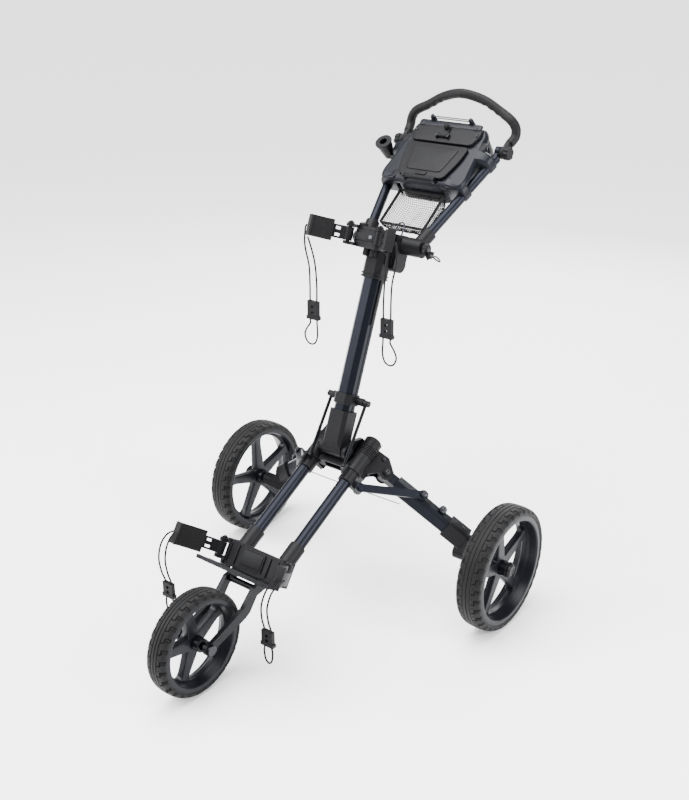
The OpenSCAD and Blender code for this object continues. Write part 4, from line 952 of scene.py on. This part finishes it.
def net_grid(columns, rows):
    """The bag's sheet: x and y follow one hoop each and the depth is the product of their
    shares, plus 1.1 mm * sin(0.21 x + 0.13 y) * cos(0.17 y) of folds where it hangs free."""
    x, p, across = hoop(58.5, 43, 4.5, columns)
    y, q, along_y = hoop(48.5, 43, 4.5, rows)
    u, v = np.meshgrid(np.arange(columns), np.arange(rows), indexing="ij")
    depth = p[u] * q[v]
    place = np.stack([x[u], 97.5 + y[v], 1.5 - (39 + 4.5 * np.clip(y[v] / 48, -1, 1)) * depth], -1)
    fold = 1.1 * np.sin(0.21 * place[..., 0] + 0.13 * place[..., 1]) * np.cos(0.17 * place[..., 1]) * depth
    return place + np.stack([0.4 * fold, 0.4 * fold, fold], -1)


# the strands' thickness, and the sides of the sheet laid flat, in metres
STRAND, NET_FLAT = 0.0018, (0.195, 0.175)
net_points = net_grid(34, 30)
net = new_piece("net_bag_mesh", [on_frame(skin(net_points, loop_columns=False))], "frame",
                net_cord, "net_bag")
strands = net.modifiers.new("strands", "WIREFRAME")
strands.thickness, strands.use_even_offset, strands.use_replace = STRAND, False, True
rim_points = np.concatenate([net_points[0, :-1], net_points[:-1, -1], net_points[-1, :0:-1],
                             net_points[:0:-1, 0]])
rim_points = spline(resample(np.vstack([rim_points, rim_points[:1]]), 41), 4)[:-1]
tape = rounded([(-1.6, -4), (1.6, -4), (1.6, 4), (-1.6, 4)], 1.2, 3)
hem = skin(sweep(rim_points, tape, (0.01, 0, 1)), loop_rows=True)
binding = new_piece("net_binding", [on_frame(hem)], "frame", webbing_cloth)

# ---- handle ----
# A bent aluminium tube under thick moulded rubber: the inner edge is waved for the fingers at
# both upper corners, raised bands mark the grip, and a parting seam runs along it.
grip_rubber = surface("grip_rubber", (0.0029, 0.0029, 0.0034), (0.0071, 0.0071, 0.0076), 0.55, 0.08,
                      scale=900, depth=0.0001, patch=18, rub=0.2, sheen=0.03)
GRIP_AT, TIP_X = 292.0, 68 + 292 * math.tan(math.radians(SPLAY))


def bump(x, width):
    """A flat-topped rise of height 1 about x = 0."""
    return np.exp(-(x / width) ** 4)


left = np.array([[138, 28, 0], [142, 48, 2], [140, 62, 14], [127, 72, 27], [97, 85, 36], [52, 97, 55],
                 [0, 98, 68]], float) + (0, GRIP_AT, 0)
loop = resample(spline(np.vstack([left, left[-2::-1] * (-1, 1, 1)]), 12), 260)
share = np.linspace(0, 1, len(loop))[:, None]
turn = np.linspace(0, 2 * np.pi, 40, endpoint=False)[None]
waves = sum(bump(share - c, 0.075) for c in (0.29, 0.71))
inner = np.clip(np.cos(turn), 0, 1) ** 1.4
ripple = 0.5 + 0.5 * np.sin(share * length_of(loop) * 2 * np.pi / 21)
grip_r = 10.7 + 0.35 * inner - 1.5 * waves * inner * ripple
for c in (0.115, 0.5, 0.885):
    grip_r = grip_r + 0.35 * bump(share - c, 0.004)
grip_r = grip_r - 0.5 * (bump(share - 0.13, 0.0025) + bump(share - 0.87, 0.0025))
grip_r = grip_r - 0.25 * bump(np.abs(turn - np.pi / 2), 0.07)
section = np.stack([grip_r * np.cos(turn), grip_r * np.sin(turn)], -1)
handle = [skin(sweep(loop, section, (0, -0.55, 0.83)))]
for s in (-1, 1):
    low, high = span(TIP_X + 0.5, TIP_X + 11, s)
    handle += [moved(facing("x", slab(ring(14, 56), low, high, 1.6)), (0, GRIP_AT, 0)),
               block((low, GRIP_AT, -9), (high, GRIP_AT + 30, 9), 1.6)]
new_piece("grip", [on_frame(s) for s in handle], "handle", grip_rubber, "handle_bar")
